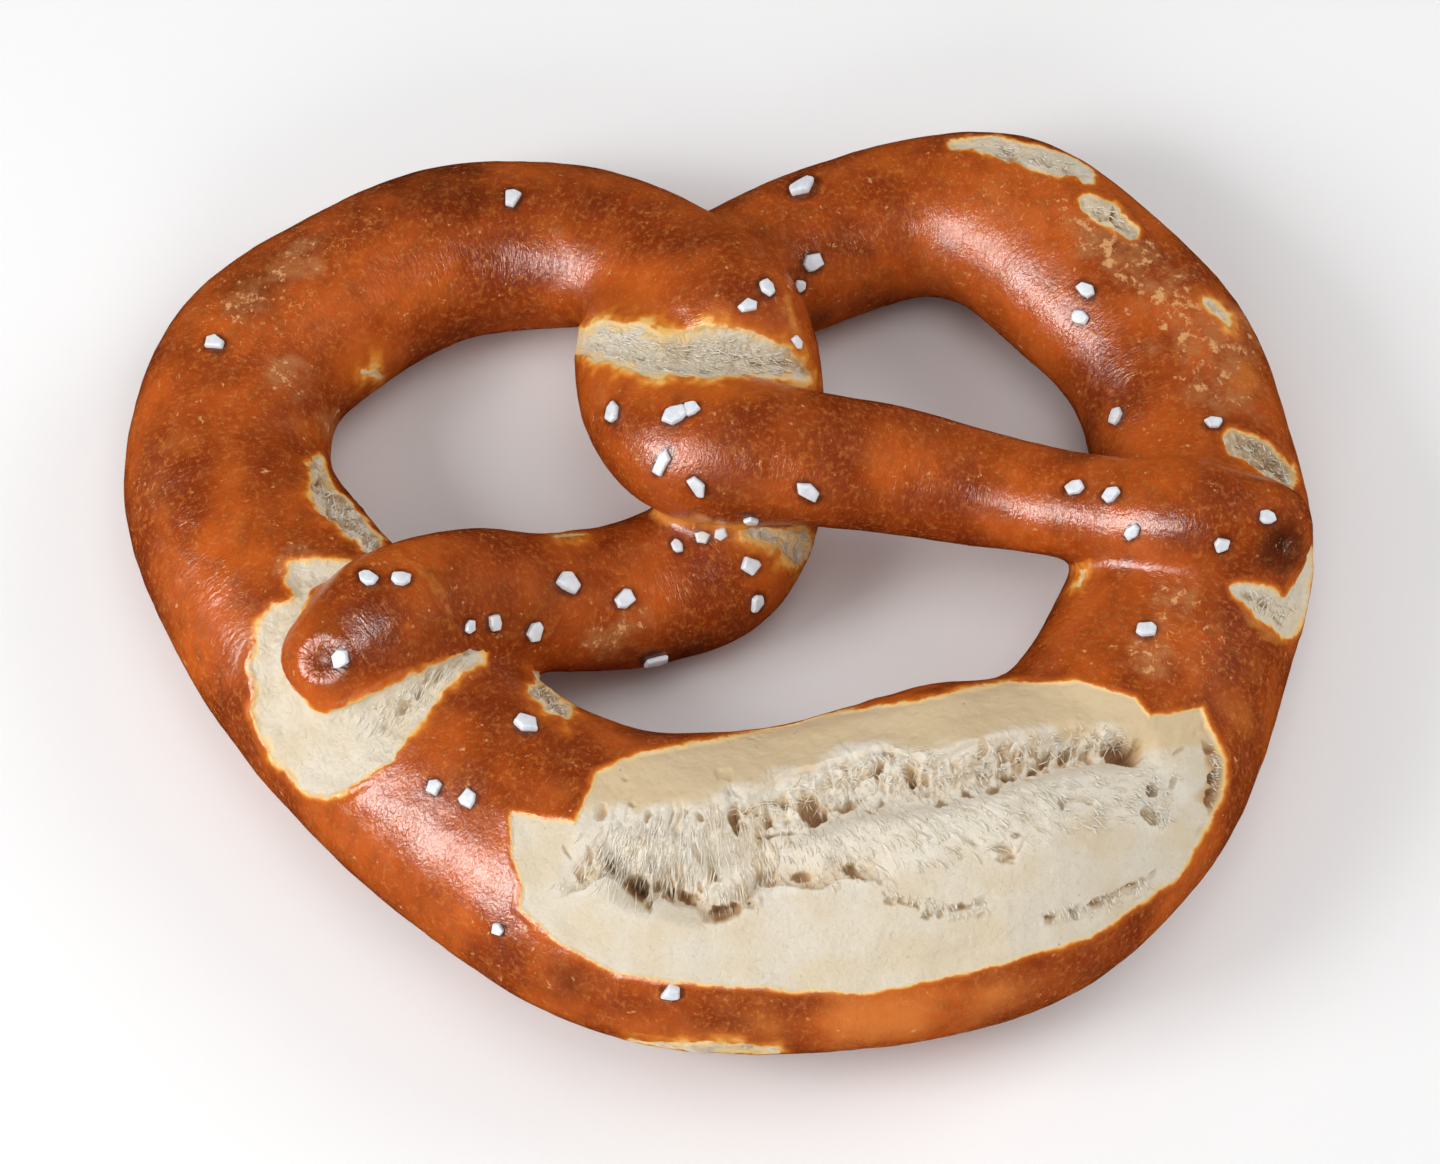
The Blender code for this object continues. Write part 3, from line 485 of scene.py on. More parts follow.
def capped(points):
    """The samples with a rounded cap of shrinking rings added beyond each end."""
    def cap(tip, neighbour):
        out = (tip - neighbour)[:2] / np.linalg.norm((tip - neighbour)[:2])
        turns = np.linspace(0.0, math.pi / 2, CAP_RINGS + 1)[1:]
        rows = []
        for turn in turns:
            reach = out * tip[2] * math.sin(turn)
            rows.append([tip[0] + reach[0], tip[1] + reach[1], tip[2], tip[3], math.cos(turn)])
        return rows

    body = np.column_stack([points, np.ones(len(points))])
    first, last = cap(points[0], points[1]), cap(points[-1], points[-2])
    return np.array(first[::-1] + body.tolist() + last)


def rope_mesh():
    """The dough rope as one swept tube that still passes through itself where it crosses."""
    rings = capped(along(ROPE, RING_STEP))
    heading = np.gradient(rings[:, :2], axis=0)
    heading /= np.linalg.norm(heading, axis=1)[:, None]
    bm = bmesh.new()
    previous = None
    for (x, y, half, lift, share), (dx, dy) in zip(rings, heading):
        tall = half_height(half)
        middle = SEAT * tall + lift
        loop = []
        for i in range(SIDES):
            turn = 2 * math.pi * i / SIDES
            across = share * half * math.cos(turn)
            up = middle + share * tall * math.sin(turn)
            loop.append(bm.verts.new(((x - dy * across) * MM, (y + dx * across) * MM, up * MM)))
        if previous is None:
            bm.faces.new(loop)
        else:
            for i in range(SIDES):
                j = (i + 1) % SIDES
                bm.faces.new((previous[i], previous[j], loop[j], loop[i]))
        previous = loop
    bm.faces.new(previous[::-1])
    bmesh.ops.recalc_face_normals(bm, faces=bm.faces)
    mesh = bpy.data.meshes.new("pretzel_dough")
    bm.to_mesh(mesh)
    bm.free()
    return mesh


def applied(obj):
    """Applies the modifiers of obj by giving it the mesh that they make."""
    graph = bpy.context.evaluated_depsgraph_get()
    made = bpy.data.meshes.new_from_object(obj.evaluated_get(graph))
    old = obj.data
    obj.modifiers.clear()
    obj.data = made
    bpy.data.meshes.remove(old)


def fuse(obj):
    """Merges the rope with itself where it crosses, with a soft fillet in each crease."""
    remesh = obj.modifiers.new("Fuse", "REMESH")
    remesh.mode = "VOXEL"
    remesh.voxel_size = VOXEL * MM
    smooth = obj.modifiers.new("Soften", "SMOOTH")
    smooth.factor = 0.5
    smooth.iterations = FUSE_PASSES
    applied(obj)


def read_points(mesh):
    """The mesh's points in millimetres."""
    points = np.empty(len(mesh.vertices) * 3)
    mesh.vertices.foreach_get("co", points)
    return points.reshape(-1, 3) / MM


def read_normals(mesh):
    normals = np.empty(len(mesh.vertices) * 3)
    mesh.vertices.foreach_get("normal", normals)
    return normals.reshape(-1, 3)


def write_points(mesh, points):
    mesh.vertices.foreach_set("co", (points * MM).ravel())
    mesh.update()


def scrambled(x, y, z, seed=0):
    """A well mixed number of 32 bits for each cell."""
    mixed = (x * 73856093) ^ (y * 19349663) ^ (z * 83492791) ^ (seed * 40503)
    return ((mixed ^ (mixed >> 13)) * 1274126177) & 0xFFFFFFFF


def noise(points, size, seed=0):
    """Smooth noise from -1 to 1 that changes over size."""
    place = points / size + seed * 7.31
    cell = np.floor(place).astype(np.int64)
    part = place - cell
    part = part * part * (3.0 - 2.0 * part)
    total = np.zeros(len(points))
    for corner in product((0, 1), repeat=3):
        mixed = scrambled(*(cell + corner).T, seed)
        value = ((mixed ^ (mixed >> 16)) & 0xFFFF) / 32767.5 - 1.0
        total += value * np.prod(np.where(corner, part, 1.0 - part), axis=1)
    return total


def in_plane(u, v, level=0.0):
    """Points of a flat plane, at which noise is read."""
    return np.column_stack([u, v, np.full(len(u), level)])


def read_off(rows, x):
    """The rows' second value at x, straight between the rows."""
    xs, values = np.array(rows, float).T
    return np.interp(x, xs, values)


def turned_by(away, turn):
    """Offsets in the picture, along and across a length that is turned from its rows by degrees."""
    c, s = math.cos(math.radians(turn)), -math.sin(math.radians(turn))
    return away[:, 0] * c + away[:, 1] * s, away[:, 1] * c - away[:, 0] * s


# The photograph's view


def view_axes():
    """The photograph's look, right and up directions and the eye's place."""
    right = Vector((math.cos(VIEW_AZIMUTH), math.sin(VIEW_AZIMUTH), 0.0))
    level = Vector((-right.y, right.x, 0.0))
    look = level * math.cos(VIEW_ELEVATION) - Vector((0.0, 0.0, math.sin(VIEW_ELEVATION)))
    return look, right, right.cross(look), VIEW_TARGET - look * VIEW_DISTANCE


def seen_at(points):
    """The photograph's pixels at which points are seen."""
    look, right, up, eye = view_axes()
    offset = points - np.array(eye)
    scale = VIEW_DISTANCE / PIXEL / (offset @ np.array(look))
    x = PHOTO_SIZE[0] / 2 + offset @ np.array(right) * scale
    y = PHOTO_SIZE[1] / 2 - offset @ np.array(up) * scale
    return np.column_stack([x, y])


def surface_of(mesh):
    """The mesh's surface in millimetres, for following pixels onto it."""
    points = [v.co / MM for v in mesh.vertices]
    return BVHTree.FromPolygons(points, [p.vertices for p in mesh.polygons])


def landing(surface, x, y):
    """Where the photograph's pixel lands on the surface, and the outward normal there."""
    look, right, up, eye = view_axes()
    across = right * (x - PHOTO_SIZE[0] / 2) * PIXEL
    down = up * (y - PHOTO_SIZE[1] / 2) * PIXEL
    place, normal, _, _ = surface.ray_cast(eye, look * VIEW_DISTANCE + across - down)
    return place, normal


# Distances that the relief and the colours follow


def rope_place(points):
    """Each point's share of the rope's length, its place along the rope and its place round it."""
    rings = along(ROPE, RING_STEP)
    middle = np.column_stack([rings[:, :2], SEAT * half_height(rings[:, 2]) + rings[:, 3]])
    heading = np.gradient(middle, axis=0)
    heading /= np.linalg.norm(heading, axis=1)[:, None]
    length = np.concatenate([[0.0], np.cumsum(np.linalg.norm(np.diff(middle, axis=0), axis=1))])
    nearest = np.empty(len(points), int)
    chunk = 20000
    for start in range(0, len(points), chunk):
        part = points[start:start + chunk]
        square = (part ** 2).sum(1)[:, None] - 2.0 * part @ middle.T + (middle ** 2).sum(1)
        nearest[start:start + chunk] = np.argmin(square / rings[:, 2] ** 2, axis=1)
    offset = points - middle[nearest]
    ahead = (offset * heading[nearest]).sum(1)
    side = offset[:, 1] * heading[nearest, 0] - offset[:, 0] * heading[nearest, 1]
    turn = np.arctan2(offset[:, 2], side) * rings[nearest, 2]
    return nearest / (len(rings) - 1), length[nearest] + ahead, turn


def inside_ribbon(points, surface, rows):
    """How far points are inside a ribbon that follows the rows over the surface; less than 0 outside."""
    look = np.array(view_axes()[0])
    landed = [(landing(surface, x, y)[0], half) for x, y, half in rows]
    spine = np.array([place for place, _ in landed if place])
    half = np.array([half for place, half in landed if place])
    best = np.full(len(points), -np.inf)
    for a, b, wide_a, wide_b in zip(spine, spine[1:], half, half[1:]):
        run = b - a
        t = np.clip((points - a) @ run / max(run @ run, 1e-9), 0.0, 1.0)
        away = points - a - t[:, None] * run
        away -= (1.0 - DEPTH_SHARE) * (away @ look)[:, None] * look
        best = np.maximum(best, wide_a + t * (wide_b - wide_a) - np.linalg.norm(away, axis=1))
    return best


def inside_outline(pixels, outline):
    """How far pixels are inside a closed outline in the photograph, in millimetres."""
    corners = np.array(outline, float)
    crossings = np.zeros(len(pixels), int)
    nearest = np.full(len(pixels), np.inf)
    for a, b in zip(corners, np.roll(corners, -1, axis=0)):
        run = b - a
        t = np.clip((pixels - a) @ run / (run @ run), 0.0, 1.0)
        nearest = np.minimum(nearest, np.linalg.norm(pixels - a - t[:, None] * run, axis=1))
        if a[1] != b[1]:
            spans = (a[1] > pixels[:, 1]) != (b[1] > pixels[:, 1])
            crossings += spans & (pixels[:, 0] < a[0] + (pixels[:, 1] - a[1]) * run[0] / run[1])
    return np.where(crossings % 2 == 1, nearest, -nearest) * PIXEL


def near_spots(points, surface, spots):
    """The sum of soft round spots: rows of the photograph's x and y, the radius and the strength."""
    total = np.zeros(len(points))
    for x, y, radius, strength in spots:
        place = landing(surface, x, y)[0]
        if place is None:
            continue
        away = np.linalg.norm(points - np.array(place), axis=1)
        total += strength * smooth_step(radius, 0.0, away)
    return total


def split_inside(points, normals):
    """How far points are inside the great split, on dough that faces the view."""
    facing = -(normals @ np.array(view_axes()[0]))
    return np.minimum(inside_outline(seen_at(points), SPLIT_LIPS), (facing - SPLIT_FACING) * FACING_REACH)


def ragged(points):
    """The unevenness of a torn edge."""
    wander = np.zeros(len(points))
    for seed, (size, reach) in enumerate(EDGE_WANDER):
        wander += noise(points, size, 20 + seed) * reach
    return wander


def all_tears(points, normals, surface, stretch):
    """How far points are inside the nearest tear, its traits, and the measure of the golden fringe."""
    wander = ragged(points)
    inside = split_inside(points, normals) + wander * SPLIT_WANDER
    traits = np.tile([SPLIT_STEP, 0.0, 0.0, SPLIT_CRAGS], (len(points), 1))
    near = inside / SPLIT_FRINGE
    for deep, (first, last), grey, brown, crags, fringe, rows in TEARS.values():
        here = inside_ribbon(points, surface, rows) + wander * (0.7 + 0.4 * crags)
        here = np.where((stretch >= first) & (stretch <= last), here, -np.inf)
        nearer = here > inside
        inside = np.where(nearer, here, inside)
        near = np.maximum(near, here / fringe)
        traits[nearer] = (deep, grey, brown, crags)
    return inside, traits.T, near


def foam(u, v, seed):
    """Cells in a plane: how far each point is from its cell's wall, and the cell's own number."""
    near = np.full(len(u), 9.0)
    second = np.full(len(u), 9.0)
    number = np.zeros(len(u))
    for i, j in product((-1, 0, 1), repeat=2):
        x, y = np.floor(u).astype(np.int64) + i, np.floor(v).astype(np.int64) + j
        mixed = scrambled(x, y, seed)
        a, b = (mixed & 0x3FF) / 1023.0, ((mixed >> 10) & 0x3FF) / 1023.0
        away = np.hypot(x + 0.1 + 0.8 * a - u, y + 0.1 + 0.8 * b - v)
        closer = away < near
        second = np.where(closer, near, np.minimum(second, away))
        number = np.where(closer, ((mixed >> 20) & 0x3FF) / 1023.0, number)
        near = np.where(closer, away, near)
    return second - near, number


def strand_field(pixels):
    """How deep the gaps between the strands are, from 0 on a strand to 1."""
    lean = np.radians(read_off(LEAN, pixels[:, 0]))
    upright = (pixels[:, 1] - 850.0) * PIXEL
    across = ((pixels[:, 0] - 900.0) * PIXEL - upright * np.tan(lean)) * np.cos(lean)
    down = upright / np.cos(lean)
    flat = in_plane(across, down)
    across = across + 1.1 * noise(flat, 5.0, 50) + 0.35 * noise(flat, 1.7, 51) + 0.15 * noise(flat, 0.8, 53)
    down = down + 1.5 * noise(flat, 3.0, 52)
    gap = np.ones(len(pixels))
    for seed, (apart, long_, wide, high) in enumerate(STRANDS):
        ridge = np.abs(noise(in_plane(across / apart, down / long_), 1.0, 60 + seed))
        gap *= 1.0 - high * smooth_step(wide * 1.6, wide * 0.3, ridge)
    open_ = smooth_step(-0.55, 0.35, noise(flat, 4.2, 54) + 0.4 * noise(flat, 1.9, 55))
    return gap * (0.25 + 0.75 * open_) * read_off(STRAND_REACH, pixels[:, 0])


def web_field(pixels):
    """How deep the open cells of a web are, from 0 on a wall to 1."""
    flat = in_plane(*(pixels.T * PIXEL))
    u = flat[:, 0] + 0.55 * noise(flat, 1.9, 56) + 0.2 * noise(flat, 0.7, 57)
    v = flat[:, 1] + 0.55 * noise(flat, 1.9, 58) + 0.2 * noise(flat, 0.7, 59)
    field = np.zeros(len(pixels))
    for seed, (size, share) in enumerate(WEB_CELLS):
        wall, number = foam(u / size, v / size * 0.85, 80 + seed)
        field += share * smooth_step(0.10, 0.55, wall) * (0.25 + 0.75 * number)
    return field


def fibre_field(pixels):
    """Fibres across the smaller tears, from -1 to 1."""
    apart, long_, lean = FIBRES
    flat = in_plane(*(pixels.T * PIXEL))
    turn = np.radians(lean + 30.0 * noise(flat, 4.0, 62))
    across = flat[:, 0] * np.cos(turn) - flat[:, 1] * np.sin(turn) + 0.5 * noise(flat, 1.6, 63)
    down = flat[:, 0] * np.sin(turn) + flat[:, 1] * np.cos(turn)
    return noise(in_plane(across / apart, down / long_), 1.0, 64)


def ledge(pixels, line, wander, fade):
    """1 just above a torn ledge that runs from left to right, easing to 0 farther above it."""
    first, last = line[0][0], line[-1][0]
    above = (read_off(line, pixels[:, 0]) - pixels[:, 1]) * PIXEL + wander
    ends = smooth_step(first - 8, first + 20, pixels[:, 0]) * smooth_step(last + 8, last - 20, pixels[:, 0])
    hollow = smooth_step(0.0, 0.45, above) * (1.0 - smooth_step(fade[0], fade[1], above)) * ends
    if fade[0] < 1.0:
        broken = noise(in_plane(*(pixels.T * PIXEL), first), 1.1, 61)
        hollow = hollow * smooth_step(-0.12, 0.2, broken)
    return hollow


def bubble_depth(pixels):
    """How deep each point lies in the torn bubbles."""
    flat = in_plane(*(pixels.T * PIXEL))
    warp = np.column_stack([noise(flat, 1.4, 41), noise(flat, 1.4, 42)]) * 0.6
    warp += np.column_stack([noise(flat, 0.5, 43), noise(flat, 0.5, 44)]) * 0.28
    depth = np.zeros(len(pixels))
    for x, y, long_, wide, turn, deep in BUBBLES:
        away = (pixels - (x, y)) * PIXEL
        near = (np.abs(away) < long_ + 1.5).all(axis=1)
        away = away[near] + warp[near] * min(1.0, wide)
        ahead, aside = turned_by(away, turn)
        u, v = ahead / long_, aside / wide
        bowl = np.sqrt(np.clip(1.0 - u * u - v * v, 0.0, 1.0))
        depth[near] = np.maximum(depth[near], deep * bowl)
    return depth


def round_grains(pixels):
    """1 at the foot of each salt grain, easing to 0 just beyond it: where painted shadow darkens the crust.
    """
    ring = np.zeros(len(pixels))
    for x, y, length, width, turn in SALT:
        ahead, aside = turned_by((pixels - (x, y)) * PIXEL, turn)
        reach = np.hypot(ahead / (length / 2 + 0.15), aside / (width / 2 + 0.15))
        ring = np.maximum(ring, smooth_step(1.35, 0.95, reach))
    return ring


# The dough piece


def refine(obj, surface):
    """Makes the fused rope's mesh finer: twice everywhere, and again near the tears."""
    finer = obj.modifiers.new("Finer", "SUBSURF")
    finer.levels = 1
    finer.render_levels = 1
    applied(obj)
    points, normals = read_points(obj.data), read_normals(obj.data)
    stretch = rope_place(points)[0]
    inside = all_tears(points, normals, surface, stretch)[0]
    torn = inside > -TORN_MARGIN
    bm = bmesh.new()
    bm.from_mesh(obj.data)
    edges = [e for e in bm.edges if torn[e.verts[0].index] and torn[e.verts[1].index]]
    bmesh.ops.subdivide_edges(bm, edges=edges, cuts=TORN_CUTS, use_grid_fill=True)
    bmesh.ops.triangulate(bm, faces=[f for f in bm.faces if len(f.verts) > 4])
    bm.to_mesh(obj.data)
    bm.free()


def seams(mesh, lay):
    """1 where the directions along and round the rope jump, easing to 0 a few millimetres away."""
    ends = np.empty(len(mesh.edges) * 2, np.int64)
    mesh.edges.foreach_get("vertices", ends)
    first, last = ends.reshape(-1, 2).T
    jump = np.abs(lay[first] - lay[last]).max(axis=1) > SEAM_JUMP
    seam = np.zeros(len(lay))
    seam[first[jump]] = 1.0
    seam[last[jump]] = 1.0
    for _ in range(SEAM_PASSES):
        wider = seam.copy()
        np.maximum.at(wider, first, seam[last] * 0.85)
        np.maximum.at(wider, last, seam[first] * 0.85)
        seam = wider
    return seam


def torn_edge(points, inside, step, in_split):
    """The step down from the crust into a tear, with the crust's raised edge along it."""
    curl = CURL[1] * np.exp(-((inside + CURL[0]) / CURL[0]) ** 2)
    curl *= (0.6 + 0.8 * noise(points, 3.0, 31)) * (1.0 - 0.6 * in_split)
    sag = (1.0 - LIP_SHARE) * smooth_step(0.0, SAG, inside) + LIP_SHARE * smooth_step(-0.1, LIP, inside)
    return step * sag - curl


def crumb_hollows(points, pixels, surface, wander, in_split, bubbles):
    """The hollows' depth and how shadowed they are, and where the strands and the pocket are."""
    sunk = smooth_step(0.0, VALLEY_SLOPE, inside_ribbon(points, surface, VALLEY))
    depth = VALLEY_DEPTH * sunk + bubbles * (0.7 + 0.15 * sunk)
    soft = noise(points, 2.6, 32) * 1.2
    stranded = smooth_step(-1.2, 1.8, inside_outline(pixels, STRANDED) + soft + wander) * in_split
    gaps = strand_field(pixels)
    depth += stranded * STRAND_DEPTH * (gaps - 0.2)
    web = smooth_step(-0.6, 1.2, inside_ribbon(points, surface, WEBS) + soft * 0.6 + wander) * in_split
    cells = web_field(pixels)
    depth += web * WEB_DEPTH * (cells - 0.15)
    shelf = np.zeros(len(points))
    for deep, fade, line in LEDGES:
        here = ledge(pixels, line, wander, fade) * in_split
        depth += deep * here
        shelf = np.maximum(shelf, here)
    brink = ledge(pixels * (1, -1), [(x, -y) for x, y in BRINK], wander, BRINK_FADE) * in_split
    depth += BRINK_DEPTH * brink
    pocket = smooth_step(-1.1, 1.5, inside_ribbon(points, surface, POCKET) + soft * 1.3 + wander) * in_split
    depth += POCKET_DEPTH * pocket * (0.7 + 0.5 * noise(points, 2.2, 33))
    shadow = np.clip(bubbles / 3.2, 0.0, 1.2) + 0.4 * shelf + 0.15 * brink + pocket
    shadow += 0.75 * stranded * np.clip(gaps - 0.25, 0.0, 1.0) + 0.9 * web * np.clip(cells - 0.15, 0.0, 1.0)
    return depth, shadow, stranded, pocket


def crag_relief(points, pixels, inside, crags, in_split):
    """The depth of the crumb's crags, crevices and fibres, and how shadowed they are."""
    rough = np.zeros(len(points))
    for seed, (size, height) in enumerate(CRAGS):
        rough += height * noise(points, size, 5 + seed)
    crevice = smooth_step(CREVICE_WIDTH, 0.0, np.abs(noise(points, 2.4, 34)))
    crevice *= np.clip(crags - 1.0, 0.0, 1.5)
    crevice *= smooth_step(-0.1, 0.3, noise(points, 3.4, 35)) * smooth_step(0.2, 1.0, inside)
    fibre = fibre_field(pixels) * (1.0 - in_split) * smooth_step(0.1, 0.9, inside)
    depth = crags * rough * smooth_step(0.0, LIP, inside) + CREVICE_DEPTH * crevice + FIBRE_DEPTH * fibre
    shadow = np.clip((crags - 0.9) * rough * 0.9, 0.0, 0.8) + crevice + 0.2 * np.clip(fibre, 0.0, 1.0)
    return depth, shadow


def crust_relief(points, surface, wander, crust):
    """How far the dough's lumps and creases rise, and how golden the creases are."""
    lumps = LUMP[1] * noise(points, LUMP[0], 1)
    lumps += crust * (DENTS[1] * noise(points, DENTS[0], 2) + PUCKER[1] * noise(points, PUCKER[0], 4))
    golden = np.zeros(len(points))
    for strength, rise, rows in CREASES:
        here = smooth_step(-1.0, 0.8, inside_ribbon(points, surface, rows) + wander * 0.8)
        golden = np.maximum(golden, strength * here)
        lumps += rise * here * crust
    return lumps, golden


def leave_measures(mesh, measures, lay):
    """Leaves on the mesh the measures that its colours follow."""
    for name, values in measures.items():
        kept = mesh.attributes.new(name, "FLOAT", "POINT")
        kept.data.foreach_set("value", values.astype(np.float32))
    kept = mesh.attributes.new("lay", "FLOAT_VECTOR", "POINT")
    kept.data.foreach_set("vector", lay.astype(np.float32).ravel())


def carve(obj, surface):
    """Gives the rope its relief, and works out the measures that its colours follow."""
    mesh = obj.data
    points, normals = read_points(mesh), read_normals(mesh)
    stretch, ahead, around = rope_place(points)
    inside, (step, grey, brown, crags), near = all_tears(points, normals, surface, stretch)
    pixels = seen_at(points)
    in_split = smooth_step(-0.4, 0.4, split_inside(points, normals))
    wander = ragged(points)
    crumb = smooth_step(-0.15, 0.35, inside)
    bubbles = bubble_depth(pixels) * smooth_step(0.2, 0.8, inside)
    hollows, shadow, stranded, pocket = crumb_hollows(points, pixels, surface, wander, in_split, bubbles)
    crag_depth, crag_shadow = crag_relief(points, pixels, inside, crags, in_split)
    lumps, golden = crust_relief(points, surface, wander, 1.0 - crumb)
    depth = torn_edge(points, inside, step, in_split) + hollows + crag_depth
    depth += near_spots(points, surface, DIMPLES)
    shaped = points + normals * (lumps - depth)[:, None]
    shaped[:, 2] = np.maximum(shaped[:, 2], 0.0)
    write_points(mesh, shaped)

    above = smooth_step(6.0, -6.0, pixels[:, 1] - read_off(SKIN_LINE, pixels[:, 0]))
    lay = in_plane(ahead, around)
    leave_measures(mesh, {
        "inside": np.clip(inside, -12.0, 12.0),
        "near": np.clip(near, -12.0, 12.0),
        # how much painted shade the crumb's hollows, bubbles, strand gaps, ledges and crevices get
        "hollow_shade": shadow + crag_shadow * crumb,
        "strand": stranded,
        "skin": in_split * (1.0 - stranded) * above,
        # pale tears get painted light; the pocket's grey is painted shade
        "grey": np.maximum(grey, pocket * 0.7),
        "brown": brown,
        "golden": golden,
        # darker and lighter spots: partly the crust's own tone, partly painted shade and painted sheen
        "shade": near_spots(points, surface, SHADES),
        "crazed": near_spots(points, surface, [(*spot, 1.0) for spot in CRAZED]),
        "flecked": near_spots(points, surface, [(*spot, 1.0) for spot in FLECKED]),
        "low": points[:, 2],
        # where painted shadow darkens the crust round the grains' feet
        "grain_shadow": round_grains(pixels),
        "seam": seams(mesh, lay),
    }, lay)
    mesh.shade_smooth()


# Salt


def grain_mesh(length, width, rng):
    """A blunt salt crystal: the hull of four uneven outlines, the top one flat and smaller."""
    thickness = GRAIN_THICKNESS * min(length, width)
    corners = rng.integers(GRAIN_CORNERS[0], GRAIN_CORNERS[1] + 1)
    steps = np.arange(corners) + rng.uniform(-0.3, 0.3, corners)
    turns = steps * 2.0 * math.pi / corners + rng.uniform(0.0, 6.3)
    reaches = rng.uniform(0.82, 1.08, corners)
    slope = rng.uniform(-0.12, 0.12, 2)
    bm = bmesh.new()
    for share, up in GRAIN_LAYERS:
        for turn, reach in zip(turns, reaches):
            x, y = math.cos(turn), math.sin(turn)
            square = (abs(x) ** 3 + abs(y) ** 3) ** (-1 / 3)
            x, y = x * square * reach * share, y * square * reach * share
            high = up + (slope[0] * x + slope[1] * y + rng.uniform(-0.04, 0.04)) * (up > 0)
            bm.verts.new((x * length / 2, y * width / 2, high * thickness / 2))
    bmesh.ops.convex_hull(bm, input=bm.verts)
    bmesh.ops.dissolve_limit(bm, angle_limit=0.12, verts=bm.verts, edges=bm.edges)
    bmesh.ops.recalc_face_normals(bm, faces=bm.faces)
    bmesh.ops.bevel(
        bm, geom=list(bm.edges) + list(bm.verts), offset=GRAIN_BEVEL, offset_type="OFFSET", segments=2,
        profile=0.5, affect="EDGES", clamp_overlap=True)
    bmesh.ops.triangulate(bm, faces=bm.faces)
    bmesh.ops.subdivide_edges(bm, edges=bm.edges, cuts=1, use_grid_fill=True)
    return bm, thickness


def salt_piece(surface):
    """All the grains as one piece, each lying on the dough and turned as in the photograph."""
    rng = np.random.default_rng(SALT_SEED)
    right = view_axes()[1]
    whole = bmesh.new()
    for number, (x, y, length, width, turn) in enumerate(SALT):
        place, normal = landing(surface, x, y)
        bm, thickness = grain_mesh(length * GRAIN_FULL, width * GRAIN_FULL, rng)
        side = (right - normal * right.dot(normal)).normalized()
        side = Matrix.Rotation(math.radians(turn), 3, normal) @ side
        turned = Matrix((side, normal.cross(side), normal)).transposed()
        centre = place + normal * thickness * (0.5 - GRAIN_SUNK)
        local = np.array([v.co for v in bm.verts])
        rough = 0.06 * noise(local, 1.1, 70 + number) + 0.02 * noise(local, 0.45, 170 + number)
        for vert, move in zip(bm.verts, rough):
            vert.co = turned @ (vert.co * (1.0 + move)) + centre
        bmesh.ops.scale(bm, vec=(MM, MM, MM), verts=bm.verts)
        grain = bpy.data.meshes.new("grain")
        bm.to_mesh(grain)
        bm.free()
        whole.from_mesh(grain)
        bpy.data.meshes.remove(grain)
    mesh = bpy.data.meshes.new("pretzel_salt")
    whole.to_mesh(mesh)
    whole.free()
    mesh.shade_smooth()
    return mesh


# Threads of crumb


def thread_paths(rng):
    """Each thread's line in the photograph's pixels."""
    paths = []
    for count, (shortest, longest), lean, turn, curl, rows in THREADS:
        table = np.array(rows, float)
        span = np.hypot(*np.diff(table[:, :2], axis=0).T)
        for _ in range(count):
            k = rng.choice(len(span), p=span / span.sum())
            x, y, reach = table[k] + (table[k + 1] - table[k]) * rng.random()
            side = rng.uniform(0.0, 2.0 * math.pi)
            away = reach / PIXEL * math.sqrt(rng.random())
            x, y = x + away * math.cos(side), y + away * math.sin(side)
            base = read_off(LEAN, x) if lean is None else lean
            heading = math.radians(base + rng.uniform(-turn, turn))
            bend = math.radians(rng.normal(0.0, curl)) / THREAD_STEPS
            step = rng.uniform(shortest, longest) * rng.uniform(0.5, 1.0) / THREAD_STEPS / PIXEL
            path = []
            for _ in range(THREAD_STEPS):
                path.append((x, y))
                x, y = x + step * math.sin(heading), y + step * math.cos(heading)
                heading += bend
            paths.append(path)
    return paths


def laid_threads(surface, whole, rng):
    """Each thread's points: on the crumb, or straight across its hollows, bowed a little outwards."""
    look, _, _, eye = (np.array(v) for v in view_axes())
    places, normals = [], []
    for path in thread_paths(rng):
        landed = [landing(surface, x, y) for x, y in path]
        if all(place is not None for place, _ in landed):
            places.append([tuple(place) for place, _ in landed])
            normals.append([tuple(normal) for _, normal in landed])
    places, normals = np.array(places), np.array(normals)
    flat, flat_normals = places.reshape(-1, 3), normals.reshape(-1, 3)
    inside = all_tears(flat, flat_normals, whole, rope_place(flat)[0])[0].reshape(places.shape[:2])
    share = np.linspace(0.0, 1.0, THREAD_STEPS)[None, :, None]
    straight = places[:, :1] * (1.0 - share) + places[:, -1:] * share
    gap = (places - straight) @ look
    fits = (inside.min(axis=1) > THREAD_CLEAR) & (gap.max(axis=1) < THREAD_GAP)
    fits &= np.linalg.norm(places[:, 0] - places[:, -1], axis=1) < THREAD_SPAN
    lines = np.where(gap[:, :, None] > 0.0, straight, places)
    bow = THREAD_BOW * rng.random((len(lines), 1, 1)) * np.sin(math.pi * share)
    return (lines - look * (bow + 0.03))[fits]


def tube_faces(count):
    """The faces of closed tubes of three sides, whose corners follow one another."""
    faces = []
    for thread in range(count):
        first = thread * THREAD_STEPS * 3
        faces.append((first + 2, first + 1, first))
        for ring in range(THREAD_STEPS - 1):
            a = first + ring * 3
            faces += [(a + i, a + (i + 1) % 3, a + 3 + (i + 1) % 3, a + 3 + i) for i in range(3)]
        faces.append((a + 3, a + 4, a + 5))
    return faces


